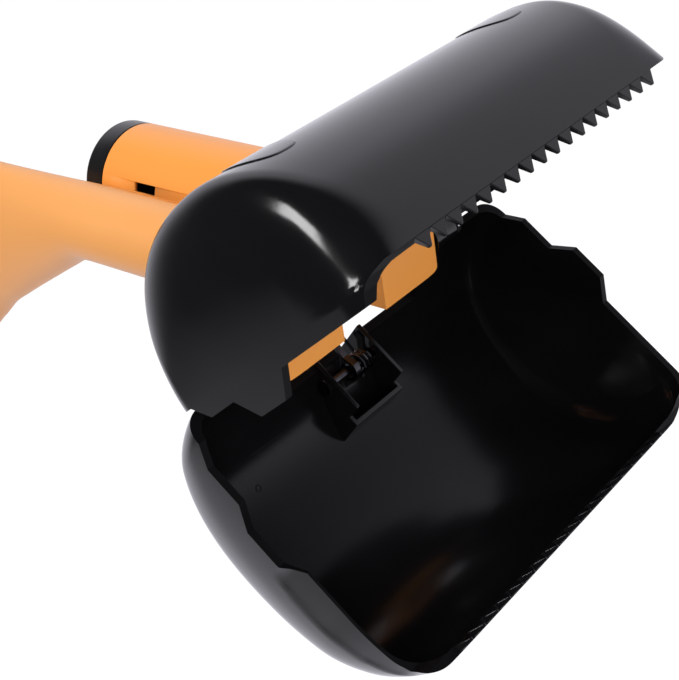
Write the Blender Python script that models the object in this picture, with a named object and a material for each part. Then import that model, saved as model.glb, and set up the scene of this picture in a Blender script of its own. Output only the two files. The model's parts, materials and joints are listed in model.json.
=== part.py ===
"""Hand-held jaw scooper for pet waste, with a bag dispenser beside its handle."""

import math

import bmesh
import bpy
from mathutils import Vector

# Fits and common details
touch_gap = 0.0003
slide_gap = 0.0004
pin_gap = 0.00025
overrun = 0.004
small_edge = 0.0006
soft_edge = 0.0012
half = 0.5
half_turn = math.pi
full_turn = half_turn + half_turn
quarter_turn = half_turn * half

# Counts of sides and steps
fine_sides = 40
round_sides = 28
pin_sides = 16
wire_sides = 6
points_per_curl = 10
bevel_steps = 2
shell_steps_along = 29
barrel_steps = 4
dome_steps = 5
smooth_angle = math.radians(35.0)
bevel_angle = math.radians(40.0)
trigger_steps = 16

# Jaws: measured from the hinge axis towards the teeth, and outwards from the rim plane
open_angle = math.radians(39.0)
jaw_length = 0.0956
jaw_back = 0.0008
jaw_depth = 0.04286
jaw_half_width = 0.0732
jaw_front_corner_length = 0.0121
jaw_back_corner_length = 0.0082
jaw_front_draw = 0.0122
jaw_back_draw = 0.0082
jaw_wall = 0.0024
jaw_front_power = 2.08
jaw_back_power = 2.205
# The barrel's share of the width, and how square the domes at its two ends are, at the back and at the front
barrel_back_share = 0.915
barrel_front_share = 0.830
dome_back_power = 1.79
dome_front_power = 2.47
lean_length = 0.0260
lean_share = 0.143
corner_power = 2.2
tooth_depth = 0.0039
tooth_pitch = 0.00607
tooth_end_margin = 0.0120
tooth_offset_share = 0.25
tooth_root_share = 0.06
rim_gap = 0.0008
rim_low_step = 0.0050
rim_high_step = 0.0120
# Where the rim steps, as shares of the jaw length
rim_step_shares = (0.0941, 0.1569, 0.2877, 0.3556, 0.4864, 0.5544, 0.9393, 0.9686)
rim_clear_depth = 0.0160
rim_tuck = 0.0004
front_rim_rise = 0.0013

# Hinge
hinge_pin_radius = 0.0025
hinge_pin_stand_out = 0.0019
hinge_head_radius = 0.0044
hinge_head_thickness = 0.0018
knuckle_radius = 0.0058
knuckle_head_gap = 0.0008
knuckle_width = 0.0048
knuckle_step = 0.0006
knuckle_web_height = 0.0100
knuckle_web_start = 0.0038
knuckle_web_half_depth = 0.0034
head_clear_gap = 0.0006
head_clear_height = 0.0216
head_clear_depth = 0.0100
knuckle_clear_radius = 0.0066
pin_end_clear_radius = 0.0056

# Head
head_inside_jaw = 0.0362
head_half_thickness = 0.0094
head_below_hinge = 0.0048
head_slot_half_width = 0.0100
head_slot_top = 0.0385
head_shoulder_height = 0.0110
head_neck_height = 0.0270
socket_radius = 0.0168
socket_floor = 0.0405
socket_top = 0.0500
socket_chamfer = 0.0010
head_corner = 0.0030
head_square_power = 14.0
head_shoulder_power = 12.0
head_neck_power = 4.0
head_collar_power = 2.4
round_power = 2.0
socket_screw_radius = 0.0016
socket_screw_head_radius = 0.0032
socket_screw_head_height = 0.0018
socket_screw_depth = 0.0030
socket_screw_height = 0.0455

# Handle
handle_radius = 0.01345
handle_bore_radius = 0.0066
handle_bottom = 0.0410
handle_above_sleeve = 0.0120
handle_side_swell = 0.0018
handle_back_swell = 0.0020
trigger_slot_half_width = 0.0070
trigger_slot_below_pivot = 0.0280
trigger_slot_back = 0.0085
trigger_slot_ahead = 0.0092
trigger_slot_low_share = 0.4654
trigger_slot_above_pivot = 0.0410
cap_height = 0.0140
cap_skirt = 0.0030
cap_height_shares = (0.55, 0.80, 0.94, 1.0)
cap_shrink_shares = (0.06, 0.20, 0.42, 0.72)
cap_hole_radius = 0.0035
sleeve_above_pivot = 0.0590
sleeve_length = 0.0650
sleeve_thickness = 0.0016
sleeve_rib_count = 6
sleeve_rib_height = 0.0007
handle_front_reach = 0.0705
swell_below_pivot = 0.0460
flare_length = 0.1500
# The flare: heights from the trigger's pivot as shares of its length, and how far its front reaches out there
flare_height_shares = (
    -0.6267, -0.5733, -0.5267, -0.4667, -0.4200, -0.3720, -0.3067, -0.2413, -0.1533, -0.0627,
    0.0133, 0.0800, 0.1200, 0.1367, 0.1480, 0.1667, 0.1933, 0.2400, 0.2933, 0.3733,
)
flare_front_shares = (
    0.0000, 0.0061, 0.0482, 0.1358, 0.2060, 0.2796, 0.3795, 0.4829, 0.6266, 0.8247,
    0.9702, 1.0000, 0.9737, 0.8510, 0.6407, 0.3953, 0.2025, 0.0710, 0.0061, 0.0000,
)

# Linkage
crosshead_height = 0.0260
crosshead_half_width = 0.0046
crosshead_half_thickness = 0.0096
crosshead_below = 0.0042
crosshead_above = 0.0070
crosshead_pin_place = 0.0060
link_half_thickness = 0.0011
link_eye_radius = 0.0034
link_waist = 0.0024
link_pin_radius = 0.0013
link_lower_eye_radius = 0.0039
link_lower_clearance = 0.00115
tray_pin_out = 0.0250
tray_pin_along = 0.0138
tray_half_width = 0.0102
tray_wall = 0.0017
tray_back = 0.0050
tray_front = 0.0272
tray_inner_edge = 0.0205
tray_front_edge = 0.0265
tray_window_top = 0.0305
tray_window_ahead = 0.0040
tray_window_link_gap = 0.0009
tray_pin_radius = 0.0015
tray_pin_head = 0.0021
push_rod_radius = 0.0025
push_rod_spring_collar_radius = 0.0052
push_rod_spring_collar_height = 0.0040
push_rod_spring_collar_place = 0.0930
guide_bush_height = 0.0100
guide_bush_flange = 0.0016
return_spring_radius = 0.0042
return_spring_wire = 0.0004
return_spring_curls = 9
torsion_wire = 0.0006
torsion_radius = 0.0031
torsion_curls = 3.25
torsion_pitch = 0.0017
torsion_inner_place = 0.0024
torsion_leg = 0.0085
torsion_tail = 0.0030

# Trigger
trigger_pivot_inside = 0.0205
trigger_pivot_height = 0.2040
trigger_pin_radius = 0.0020
trigger_pin_head_radius = 0.0036
trigger_pin_head_height = 0.0012
trigger_pin_half_length = 0.0136
trigger_half_width = 0.0062
trigger_arm_half_width = 0.0022
trigger_arm_depth = 0.0052
trigger_arm_past_rod = 0.0070
trigger_arm_slot_past_rod = 0.0013
trigger_arm_slot_half = 0.0017
trigger_hub_radius = 0.0066
trigger_tip_out = 0.0200
trigger_tip_height = 0.1000
trigger_thickness = 0.0056
trigger_scallop = 0.0016
trigger_scallop_count = 4
clevis_pin_radius = 0.0016
clevis_half_width = 0.0052
clevis_below = 0.0105
clevis_above = 0.0040
clevis_half_depth = 0.0046
clevis_slot_half_width = 0.0027
clevis_slot_length = 0.0056

# Bag dispenser
tube_radius = 0.0200
tube_wall = 0.0016
tube_place = 0.0350
tube_bottom = 0.0540
tube_top = 0.1291
dispenser_cap_height = 0.0088
dispenser_cap_crown = 0.0012
dispenser_cap_skirt = 0.0075
plug_height = 0.0030
plug_skirt = 0.0060
exit_slot_bottom = 0.1010
exit_slot_top = 0.1118
exit_slot_half_width = 0.0017
exit_slot_angle = math.radians(202.0)
clamp_bottom = 0.0506
clamp_top = 0.0584
clamp_wall = 0.0024
clamp_screw_radius = 0.0014
clamp_screw_head_radius = 0.0028
clamp_screw_head_height = 0.0016
clamp_ear_reach = 0.0066
clamp_ear_half_width = 0.0040
clamp_split = 0.0006

# Sizes that follow from those above
head_half_width = jaw_half_width - head_inside_jaw
head_clear_half_width = head_half_width + head_clear_gap
knuckle_inner_place = head_half_width + knuckle_head_gap
knuckle_outer_place = knuckle_inner_place + knuckle_width + knuckle_step
hinge_pin_half_length = knuckle_outer_place + knuckle_width + knuckle_step + hinge_pin_stand_out
jaw_front_half_width = jaw_half_width - jaw_front_draw
tooth_count = int((jaw_front_half_width + jaw_front_half_width - tooth_end_margin) / tooth_pitch)
sleeve_bottom = trigger_pivot_height + sleeve_above_pivot
sleeve_top = sleeve_bottom + sleeve_length
handle_top = sleeve_top + handle_above_sleeve
handle_swell_start = trigger_pivot_height - swell_below_pivot
trigger_pivot_out = handle_front_reach - trigger_pivot_inside
trigger_slot_front = trigger_pivot_out + trigger_slot_ahead
trigger_slot_low_front = handle_radius + (handle_front_reach - handle_radius) * trigger_slot_low_share
trigger_arm_reach = trigger_pivot_out + trigger_arm_past_rod
trigger_arm_slot_place = trigger_pivot_out + trigger_arm_slot_past_rod
hinge_height = jaw_length * math.cos(open_angle) + (tooth_depth - front_rim_rise) * math.sin(open_angle)


# General makers

def clear_scene():
    for item in list(bpy.data.objects):
        bpy.data.objects.remove(item, do_unlink=True)


def make_material(name, colour, roughness, metallic=0.0):
    made = bpy.data.materials.new(name)
    made.use_nodes = True
    shader = made.node_tree.nodes["Principled BSDF"]
    shader.inputs["Base Color"].default_value = (*colour, 1.0)
    shader.inputs["Roughness"].default_value = roughness
    shader.inputs["Metallic"].default_value = metallic
    return made


def orange_plastic(name):
    return make_material(name + "_orange_plastic", (0.86, 0.33, 0.04), 0.42)


def black_plastic(name):
    return make_material(name + "_black_plastic", (0.012, 0.012, 0.014), 0.16)


def bright_steel(name):
    return make_material(name + "_steel", (0.62, 0.62, 0.64), 0.25, 1.0)


def blackened_steel(name):
    return make_material(name + "_blackened_steel", (0.06, 0.06, 0.065), 0.35, 1.0)


def dark_rubber(name):
    return make_material(name + "_rubber", (0.02, 0.02, 0.022), 0.75)


def add_object(name, points, faces, material=None):
    mesh = bpy.data.meshes.new(name)
    mesh.from_pydata([tuple(point) for point in points], [], [tuple(face) for face in faces])
    work = bmesh.new()
    work.from_mesh(mesh)
    bmesh.ops.recalc_face_normals(work, faces=work.faces)
    work.to_mesh(mesh)
    work.free()
    made = bpy.data.objects.new(name, mesh)
    bpy.context.collection.objects.link(made)
    if material:
        mesh.materials.append(material)
    return made


def make_guide(item):
    item.hide_render = True
    item.display_type = "WIRE"
    return item


def smooth(item):
    bpy.context.view_layer.objects.active = item
    item.data.shade_smooth()
    item.data.set_sharp_from_angle(angle=smooth_angle)
    return item


def join_boolean(item, other, operation, name):
    modifier = item.modifiers.new(name, "BOOLEAN")
    modifier.operation = operation
    modifier.solver = "EXACT"
    modifier.object = make_guide(other)
    other.parent = item
    return item


def cut(item, other, name="cut"):
    return join_boolean(item, other, "DIFFERENCE", name)


def unite(item, other, name="unite"):
    return join_boolean(item, other, "UNION", name)


def bevel(item, width):
    modifier = item.modifiers.new("soft edges", "BEVEL")
    modifier.width = width
    modifier.segments = bevel_steps
    modifier.limit_method = "ANGLE"
    modifier.angle_limit = bevel_angle
    modifier.harden_normals = False
    return item


def loft(name, rings, material=None):
    count = len(rings[0])
    points = [point for ring in rings for point in ring]
    faces = []
    for row in range(len(rings) - 1):
        start = row * count
        for place in range(count):
            following = (place + 1) % count
            faces.append((start + place, start + following, start + count + following, start + count + place))
    faces.append(tuple(range(count)))
    last = (len(rings) - 1) * count
    faces.append(tuple(range(last, last + count)))
    return add_object(name, points, faces, material)


def lathe(name, profile, material=None, sides=round_sides):
    """A closed loop of (radius, height) turned about Z; points with radius zero lie on the axis."""
    points = []
    rows = []
    for radius, height in profile:
        if radius == 0:
            rows.append([len(points)] * sides)
            points.append((0, 0, height))
            continue
        rows.append(list(range(len(points), len(points) + sides)))
        for side in range(sides):
            turn = full_turn * side / sides
            points.append((radius * math.cos(turn), radius * math.sin(turn), height))
    faces = []
    for row in range(len(rows)):
        lower = rows[row]
        upper = rows[(row + 1) % len(rows)]
        if profile[row][0] == 0 and profile[(row + 1) % len(rows)][0] == 0:
            continue
        for side in range(sides):
            following = (side + 1) % sides
            corners = (lower[side], lower[following], upper[following], upper[side])
            kept = tuple(dict.fromkeys(corners))
            if len(kept) > 2:
                faces.append(kept)
    return add_object(name, points, faces, material)


def box(name, low, high, material=None):
    points = [(x, y, z) for x in (low[0], high[0]) for y in (low[1], high[1]) for z in (low[2], high[2])]
    faces = [(0, 1, 3, 2), (4, 6, 7, 5), (0, 4, 5, 1), (2, 3, 7, 6), (0, 2, 6, 4), (1, 5, 7, 3)]
    return add_object(name, points, faces, material)


def rod_x(name, radius, start, end, out=0.0, height=0.0, material=None, sides=pin_sides):
    rings = []
    for x in (start, end):
        ring = []
        for side in range(sides):
            turn = full_turn * side / sides
            ring.append((x, out + radius * math.cos(turn), height + radius * math.sin(turn)))
        rings.append(ring)
    return loft(name, rings, material)


def prism_x(name, outline, start, end, material=None):
    """An outline of (y, z) points drawn out along X."""
    rings = [[(x, y, z) for y, z in outline] for x in (start, end)]
    return loft(name, rings, material)


def shaped_section(half_x, low_y, high_y, height, sides, power=round_power):
    """A rounded section at one height, oval at power two and squarer above it."""
    middle = (low_y + high_y) * half
    half_y = (high_y - low_y) * half
    ring = []
    for side in range(sides):
        turn = full_turn * side / sides
        across = math.copysign(abs(math.cos(turn)) ** (2 / power), math.cos(turn))
        along = math.copysign(abs(math.sin(turn)) ** (2 / power), math.sin(turn))
        ring.append((half_x * across, middle + half_y * along, height))
    return ring


def wire_solid(name, path, radius, material):
    """A round wire swept along a path of points, with flat ends."""
    path = [Vector(point) for point in path]
    rings = []
    side_way = None
    for place, point in enumerate(path):
        before = path[max(place - 1, 0)]
        after = path[min(place + 1, len(path) - 1)]
        forward = (after - before).normalized()
        if side_way is None:
            side_way = forward.orthogonal().normalized()
        side_way = (side_way - forward * side_way.dot(forward)).normalized()
        other_way = forward.cross(side_way)
        ring = []
        for side in range(wire_sides):
            turn = full_turn * side / wire_sides
            ring.append(tuple(point + (side_way * math.cos(turn) + other_way * math.sin(turn)) * radius))
        rings.append(ring)
    made = loft(name, rings, material)
    return smooth(made)


# Jaws

def step_share(share):
    """A share from zero to one, eased at both ends."""
    kept = min(max(share, 0), 1)
    return kept * kept * (3 - 2 * kept)


def rim_half_width(along):
    """Half width of the rim at a distance from the hinge, with rounded corners at both ends."""
    start_front = jaw_length - jaw_front_corner_length
    if along > start_front:
        share = (along - start_front) / jaw_front_corner_length
        drop = 1 - (1 - min(share, 1) ** corner_power) ** (1 / corner_power)
        return jaw_half_width - jaw_front_draw * drop
    end_back = jaw_back + jaw_back_corner_length
    if along < end_back:
        share = (end_back - along) / jaw_back_corner_length
        drop = 1 - (1 - min(share, 1) ** corner_power) ** (1 / corner_power)
        return jaw_half_width - jaw_back_draw * drop
    return jaw_half_width


def across_shares(barrel):
    """Places across the jaw as shares of its half width, closer together on the two domes."""
    dome = []
    for step in range(dome_steps + 1):
        dome.append(barrel + (1 - barrel) * math.sin(quarter_turn * step / dome_steps))
    flat = []
    for step in range(1, barrel_steps):
        flat.append(barrel * (step - (barrel_steps - step)) / barrel_steps)
    return [-share for share in reversed(dome)] + flat + dome


def bowl_solid(name, inset, skirt):
    """The jaw's filled outer or inner form: a barrel with domed ends over the rim, and a skirt below it."""
    middle = (jaw_length + jaw_back) * half
    reach = (jaw_length - jaw_back) * half - inset
    depth = jaw_depth - inset
    rows = []
    for step in range(shell_steps_along + 1):
        turn = half_turn * step / shell_steps_along
        power = jaw_front_power if math.cos(turn) > 0 else jaw_back_power
        run = math.copysign(abs(math.cos(turn)) ** (2 / power), math.cos(turn))
        rise = abs(math.sin(turn)) ** (2 / power)
        along = middle + reach * run
        base_along = middle + (reach + inset) * run
        width = rim_half_width(base_along) - inset
        front_share = step_share(base_along / jaw_length)
        barrel = barrel_back_share + (barrel_front_share - barrel_back_share) * front_share
        power = dome_back_power + (dome_front_power - dome_back_power) * front_share
        lean = lean_share * min(max((base_along - jaw_length + lean_length) / lean_length, 0), 1) ** 2
        row = [(-width, -skirt, -along)]
        for share in across_shares(barrel):
            end_share = min(max((abs(share) - barrel) / (1 - barrel), 0), 1)
            fall = (1 - end_share ** power) ** (1 / power)
            narrowed = 1 - lean * math.sqrt(rise * fall)
            row.append((width * share * narrowed, depth * rise * fall - rim_tuck, -along))
        row.append((width, -skirt, -along))
        rows.append(row)
    count = len(rows[0])
    points = [point for row in rows for point in row]
    faces = []
    for row in range(len(rows) - 1):
        for place in range(count - 1):
            start = row * count + place
            faces.append((start, start + 1, start + count + 1, start + count))
        start = row * count
        faces.append((start, start + count, start + count + count - 1, start + count - 1))
    faces.append(tuple(range(count)))
    last = (len(rows) - 1) * count
    faces.append(tuple(range(last, last + count)))
    return add_object(name, points, faces)


def rim_line(sign):
    """The stepped rim along one side, as (outwards, height) points from front to back."""
    places = [jaw_length * share for share in rim_step_shares]
    first, second, third, fourth, fifth, sixth, seventh, eighth = places
    low = -rim_low_step if sign > 0 else rim_low_step + rim_gap
    high = -rim_high_step if sign > 0 else rim_high_step + rim_gap
    return [
        (0.0, -first),
        (low, -second),
        (low, -third),
        (high, -fourth),
        (high, -fifth),
        (low, -sixth),
        (low, -seventh),
        (front_rim_rise, -eighth),
    ]


def rim_cutter(name, sign):
    """Everything past the stepped rim on one side of the jaw's middle."""
    line = [(0.0, knuckle_radius + overrun)] + rim_line(sign) + [(front_rim_rise, -(jaw_length + overrun))]
    below = -(rim_clear_depth + overrun)
    outline = line + [(below, -(jaw_length + overrun)), (below, knuckle_radius + overrun)]
    start, end = (-overrun, jaw_half_width + overrun)
    if sign < 0:
        start, end = (-(jaw_half_width + overrun), overrun)
    return prism_x(name, outline, start, end)


def tooth_row(name, middle):
    """The row of pointed teeth, as one strip that reaches up into the front wall."""
    span = tooth_pitch * tooth_count
    start = middle - span * half
    root = tooth_pitch * tooth_root_share
    outline = []
    for tooth in range(tooth_count):
        left = start + tooth * tooth_pitch
        outline.append((left + root, front_rim_rise))
        outline.append((left + tooth_pitch * half - root * half, front_rim_rise - tooth_depth))
        outline.append((left + tooth_pitch * half + root * half, front_rim_rise - tooth_depth))
        outline.append((left + tooth_pitch - root, front_rim_rise))
    outline.append((start + span, front_rim_rise + jaw_wall))
    outline.append((start, front_rim_rise + jaw_wall))
    rings = []
    for along in (jaw_length - jaw_wall + small_edge, jaw_length - small_edge * half):
        rings.append([(x, out, -along) for x, out in outline])
    return loft(name, rings)


def knuckle(name, start, end):
    """One hinge eye of a jaw with the web that ties it to the back wall."""
    made = rod_x(name, knuckle_radius, start, end)
    web = box(
        name + "_web",
        (start, knuckle_web_start, -knuckle_web_half_depth),
        (end, knuckle_web_height, knuckle_web_half_depth),
    )
    return unite(made, web, "web")


def build_jaw(name):
    """One jaw about its own hinge axis, closed: X along the hinge, Y outwards, -Z towards the teeth."""
    material = black_plastic(name)
    outer = bowl_solid(name, 0.0, rim_clear_depth)
    outer.data.materials.append(material)
    core = bowl_solid(name + "_core", jaw_wall, rim_clear_depth + overrun)
    cut(outer, core, "hollow")
    cut(outer, rim_cutter(name + "_rim_right", 1), "right rim")
    cut(outer, rim_cutter(name + "_rim_left", -1), "left rim")
    unite(outer, tooth_row(name + "_teeth", -tooth_pitch * tooth_offset_share), "teeth")
    tray = box(
        name + "_tray",
        (-tray_half_width - tray_wall, tray_inner_edge, -tray_front - tray_wall),
        (tray_half_width + tray_wall, jaw_depth, -tray_back),
    )
    tray_room = box(
        name + "_tray_room",
        (-tray_half_width, tray_inner_edge - overrun, -tray_front),
        (tray_half_width, jaw_depth + overrun, overrun),
    )
    tray_trim = box(
        name + "_tray_trim",
        (
            -tray_half_width - tray_wall - overrun,
            tray_inner_edge - overrun,
            -tray_front - tray_wall - overrun,
        ),
        (tray_half_width + tray_wall + overrun, tray_front_edge, -tray_front + tray_wall),
    )
    cut(tray, tray_room, "room")
    cut(tray, tray_trim, "front edge")
    tray_limit = bowl_solid(name + "_tray_limit", jaw_wall * half, rim_clear_depth)
    join_boolean(tray, tray_limit, "INTERSECT", "keep inside")
    unite(outer, tray, "tray")
    cut(outer, box(
        name + "_head_room",
        (-head_clear_half_width, -overrun - knuckle_radius, -head_clear_depth),
        (head_clear_half_width, head_clear_height, knuckle_radius + overrun),
    ), "head room")
    cut(outer, box(
        name + "_window",
        (
            -link_half_thickness - tray_window_link_gap,
            head_clear_height - overrun,
            -tray_pin_along - tray_window_ahead,
        ),
        (tray_half_width - small_edge, tray_window_top, knuckle_radius + overrun),
    ), "window")
    first = knuckle_inner_place
    second = knuckle_outer_place
    margin = knuckle_step * half
    own = ((first, first + knuckle_width), (-second - knuckle_width, -second))
    other = ((-first - knuckle_width, -first), (second, second + knuckle_width))
    for place, (start, end) in enumerate(other):
        room = rod_x(f"{name}_other_eye_{place}", knuckle_clear_radius, start - margin, end + margin)
        cut(outer, room, "room for other eye")
    for place, side in enumerate((-1, 1)):
        ends = sorted((side * (second + knuckle_width + margin), side * (hinge_pin_half_length + overrun)))
        cut(outer, rod_x(f"{name}_pin_end_{place}", pin_end_clear_radius, *ends), "room for pin end")
    for place, (start, end) in enumerate(own):
        unite(outer, knuckle(f"{name}_eye_{place}", start, end), "hinge eye")
    end = hinge_pin_half_length + overrun
    cut(outer, rod_x(name + "_pin_hole", hinge_pin_radius + pin_gap, -end, end), "pin hole")
    reach = tray_half_width + tray_wall + overrun
    wall_side = -tray_half_width - tray_wall
    head_room = rod_x(
        name + "_tray_pin_head_room",
        tray_pin_head + pin_gap,
        wall_side - overrun,
        wall_side,
        tray_pin_out,
        -tray_pin_along,
    )
    cut(outer, head_room, "room for pin head")
    pin_hole = rod_x(
        name + "_tray_pin_hole", tray_pin_radius + pin_gap, -reach, reach, tray_pin_out, -tray_pin_along
    )
    cut(outer, pin_hole, "tray pin hole")
    return smooth(outer)


def place_jaw(item, turned):
    item.location = (0, 0, hinge_height)
    item.rotation_euler = (open_angle, 0, half_turn if turned else 0)
    return item


def build_tray_pin(name, turned):
    material = blackened_steel(name)
    reach = tray_half_width + tray_wall + touch_gap
    head = tray_pin_head
    rings = []
    for radius, x in (
        (head, -reach - small_edge - small_edge),
        (head, -reach),
        (tray_pin_radius, -reach),
        (tray_pin_radius, reach + small_edge + small_edge),
    ):
        ring = []
        for side in range(pin_sides):
            turn = full_turn * side / pin_sides
            out = tray_pin_out + radius * math.cos(turn)
            ring.append((x, out, -tray_pin_along + radius * math.sin(turn)))
        rings.append(ring)
    return place_jaw(smooth(loft(name, rings, material)), turned)


# Hinge pins

def build_hinge_pin(name, side):
    """A headed pin through one head lug and the hinge eyes beside it."""
    rings = []
    for radius, x in (
        (hinge_head_radius, hinge_pin_half_length + hinge_head_thickness),
        (hinge_head_radius, hinge_pin_half_length),
        (hinge_pin_radius, hinge_pin_half_length),
        (hinge_pin_radius, head_slot_half_width + touch_gap),
    ):
        ring = []
        for step in range(pin_sides):
            turn = full_turn * step / pin_sides
            ring.append((side * x, radius * math.cos(turn), hinge_height + radius * math.sin(turn)))
        rings.append(ring)
    return smooth(loft(name, rings, bright_steel(name)))


# Head

def build_head():
    name = "head_yoke"
    base = hinge_height
    stations = (
        (-head_below_hinge, head_half_width, head_half_thickness, head_square_power),
        (head_shoulder_height, head_half_width, head_half_thickness, head_square_power),
        (
            head_shoulder_height + head_corner,
            head_half_width - head_corner * half,
            head_half_thickness,
            head_shoulder_power,
        ),
        (
            head_neck_height,
            (head_half_width + socket_radius) * half,
            (head_half_thickness + socket_radius) * half,
            head_neck_power,
        ),
        (head_slot_top - head_corner, socket_radius + head_corner * half, socket_radius, head_collar_power),
        (socket_floor, socket_radius, socket_radius, round_power),
        (socket_top - socket_chamfer, socket_radius, socket_radius, round_power),
        (socket_top, socket_radius - socket_chamfer, socket_radius - socket_chamfer, round_power),
    )
    rings = [
        shaped_section(half_x, -half_y, half_y, base + height, fine_sides, power)
        for height, half_x, half_y, power in stations
    ]
    made = loft(name, rings, orange_plastic(name))
    slot = box(
        name + "_slot",
        (-head_slot_half_width, -socket_radius - overrun, base - head_below_hinge - overrun),
        (head_slot_half_width, socket_radius + overrun, base + head_slot_top),
    )
    cut(made, slot, "slot")
    end = head_half_width + overrun
    cut(made, rod_x(name + "_pin_hole", hinge_pin_radius + pin_gap, -end, end, 0.0, base), "pin hole")
    bore = lathe(name + "_bore", [
        (0, base + socket_floor),
        (handle_radius + touch_gap, base + socket_floor),
        (handle_radius + touch_gap, base + socket_top + overrun),
        (0, base + socket_top + overrun),
    ], sides=fine_sides)
    cut(made, bore, "socket")
    way = lathe(name + "_rod_way", [
        (0, base + head_slot_top - overrun),
        (push_rod_radius + slide_gap, base + head_slot_top - overrun),
        (push_rod_radius + slide_gap, base + socket_floor + overrun),
        (0, base + socket_floor + overrun),
    ], sides=pin_sides)
    cut(made, way, "rod way")
    for side in (-1, 1):
        cut(made, screw_form(f"{name}_screw_room_{side}", side, touch_gap), "screw room")
    return smooth(made)


def screw_form(name, side, grown, material=None):
    """A short screw along X at one side of the socket, with its head flush in a counterbore."""
    outside = socket_radius - socket_screw_head_height + touch_gap
    inside = handle_radius - socket_screw_depth
    height = hinge_height + socket_screw_height
    out_end = outside + socket_screw_head_height + (overrun if grown else 0.0)
    rings = []
    for radius, x in (
        (socket_screw_radius + grown, inside - grown),
        (socket_screw_radius + grown, outside - grown),
        (socket_screw_head_radius + grown, outside - grown),
        (socket_screw_head_radius + grown, out_end),
    ):
        ring = []
        for step in range(pin_sides):
            turn = full_turn * step / pin_sides
            ring.append((side * x, radius * math.cos(turn), height + radius * math.sin(turn)))
        rings.append(ring)
    return loft(name, rings, material)


def cross_slot(name, side):
    """The driver slot in a screw head at one side of the socket."""
    outside = socket_radius - socket_screw_head_height + touch_gap + socket_screw_head_height
    height = hinge_height + socket_screw_height
    inner = outside - socket_screw_head_height * half
    xs = sorted((side * inner, side * (outside + overrun)))
    reach = socket_screw_head_radius * half
    return box(
        name,
        (xs[0], -reach, height - small_edge * half),
        (xs[1], reach, height + small_edge * half),
    )


def build_socket_screw(name, side):
    made = screw_form(name, side, 0.0, bright_steel(name))
    cut(made, cross_slot(name + "_driver_slot", side), "driver slot")
    return smooth(made)


# Handle

def build_handle():
    name = "handle"
    base = hinge_height
    flare_heights = [trigger_pivot_height + flare_length * share for share in flare_height_shares]
    heights = [handle_bottom, *flare_heights, handle_top]
    reach = handle_front_reach - handle_radius
    fronts = [handle_radius + reach * share for share in (0, *flare_front_shares, 0)]
    slot_bottom = base + trigger_pivot_height - trigger_slot_below_pivot
    slot_top = base + trigger_pivot_height + trigger_slot_above_pivot
    rings = []
    for height, front in zip(heights, fronts):
        ease = step_share((height - handle_swell_start) / (sleeve_bottom - handle_swell_start))
        side_half = handle_radius + handle_side_swell * ease
        back = handle_radius + handle_back_swell * ease
        rings.append(shaped_section(side_half, -back, front, base + height, fine_sides))
    made = loft(name, rings, orange_plastic(name))
    bore = lathe(name + "_bore", [
        (0, base + handle_bottom - overrun),
        (handle_bore_radius, base + handle_bottom - overrun),
        (handle_bore_radius, slot_bottom + overrun),
        (0, slot_bottom + overrun),
    ])
    cut(made, bore, "rod bore")
    slot = prism_x(name + "_trigger_slot", [
        (-trigger_slot_back, slot_bottom),
        (trigger_slot_low_front, slot_bottom),
        (trigger_slot_front, base + trigger_pivot_height),
        (trigger_slot_front, slot_top),
        (-trigger_slot_back, slot_top),
    ], -trigger_slot_half_width, trigger_slot_half_width)
    cut(made, slot, "trigger slot")
    pivot_reach = handle_radius + handle_side_swell + overrun
    pivot = rod_x(
        name + "_pivot_hole",
        trigger_pin_radius + pin_gap,
        -pivot_reach,
        pivot_reach,
        trigger_pivot_out,
        base + trigger_pivot_height,
    )
    cut(made, pivot, "pivot hole")
    for side in (-1, 1):
        cut(made, screw_form(f"{name}_screw_room_{side}", side, touch_gap), "screw room")
    return smooth(made)


def build_guide_bush():
    name = "rod_guide_bush"
    base = hinge_height + socket_floor + touch_gap
    outer = handle_bore_radius - touch_gap
    flange = handle_bore_radius - touch_gap
    return smooth(lathe(name, [
        (push_rod_radius + slide_gap, base),
        (flange, base),
        (flange, base + guide_bush_flange),
        (outer, base + guide_bush_height),
        (push_rod_radius + slide_gap, base + guide_bush_height),
    ], black_plastic(name)))


def build_grip_sleeve():
    name = "grip_sleeve"
    base = hinge_height
    rows = 2 * sleeve_rib_count
    outer_rings = []
    inner_rings = []
    for row in range(rows + 1):
        height = base + sleeve_bottom + (sleeve_top - sleeve_bottom) * row / rows
        swell = sleeve_rib_height if row % 2 else 0.0
        if row in (0, rows):
            swell = -sleeve_thickness * half
        side_half = handle_radius + handle_side_swell + touch_gap
        back = handle_radius + handle_back_swell + touch_gap
        front = handle_radius + touch_gap
        grown = sleeve_thickness + swell
        outer_rings.append(shaped_section(side_half + grown, -back - grown, front + grown, height, round_sides))
        inner_rings.append(shaped_section(side_half, -back, front, height, round_sides))
    made = loft(name, outer_rings, dark_rubber(name))
    low = [(x, y, z - overrun) for x, y, z in inner_rings[0]]
    high = [(x, y, z + overrun) for x, y, z in inner_rings[-1]]
    return smooth(cut(made, loft(name + "_bore", [low, high]), "bore"))


def build_end_cap():
    name = "handle_end_cap"
    base = hinge_height + handle_top + touch_gap
    side_half = handle_radius + handle_side_swell
    back = handle_radius + handle_back_swell
    front = handle_radius
    rings = [shaped_section(side_half, -back, front, base, round_sides)]
    rings.append(shaped_section(side_half, -back, front, base + cap_skirt, round_sides))
    for share, shrink_share in zip(cap_height_shares, cap_shrink_shares):
        shrink = handle_radius * shrink_share
        height = base + cap_skirt + (cap_height - cap_skirt) * share
        rings.append(shaped_section(side_half - shrink, -back + shrink, front - shrink, height, round_sides))
    made = loft(name, rings, black_plastic(name))
    reach = side_half + overrun
    hole = rod_x(name + "_cord_hole", cap_hole_radius, -reach, reach, 0.0, base + cap_height * half)
    return smooth(cut(made, hole, "cord hole"))


# Linkage

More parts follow.
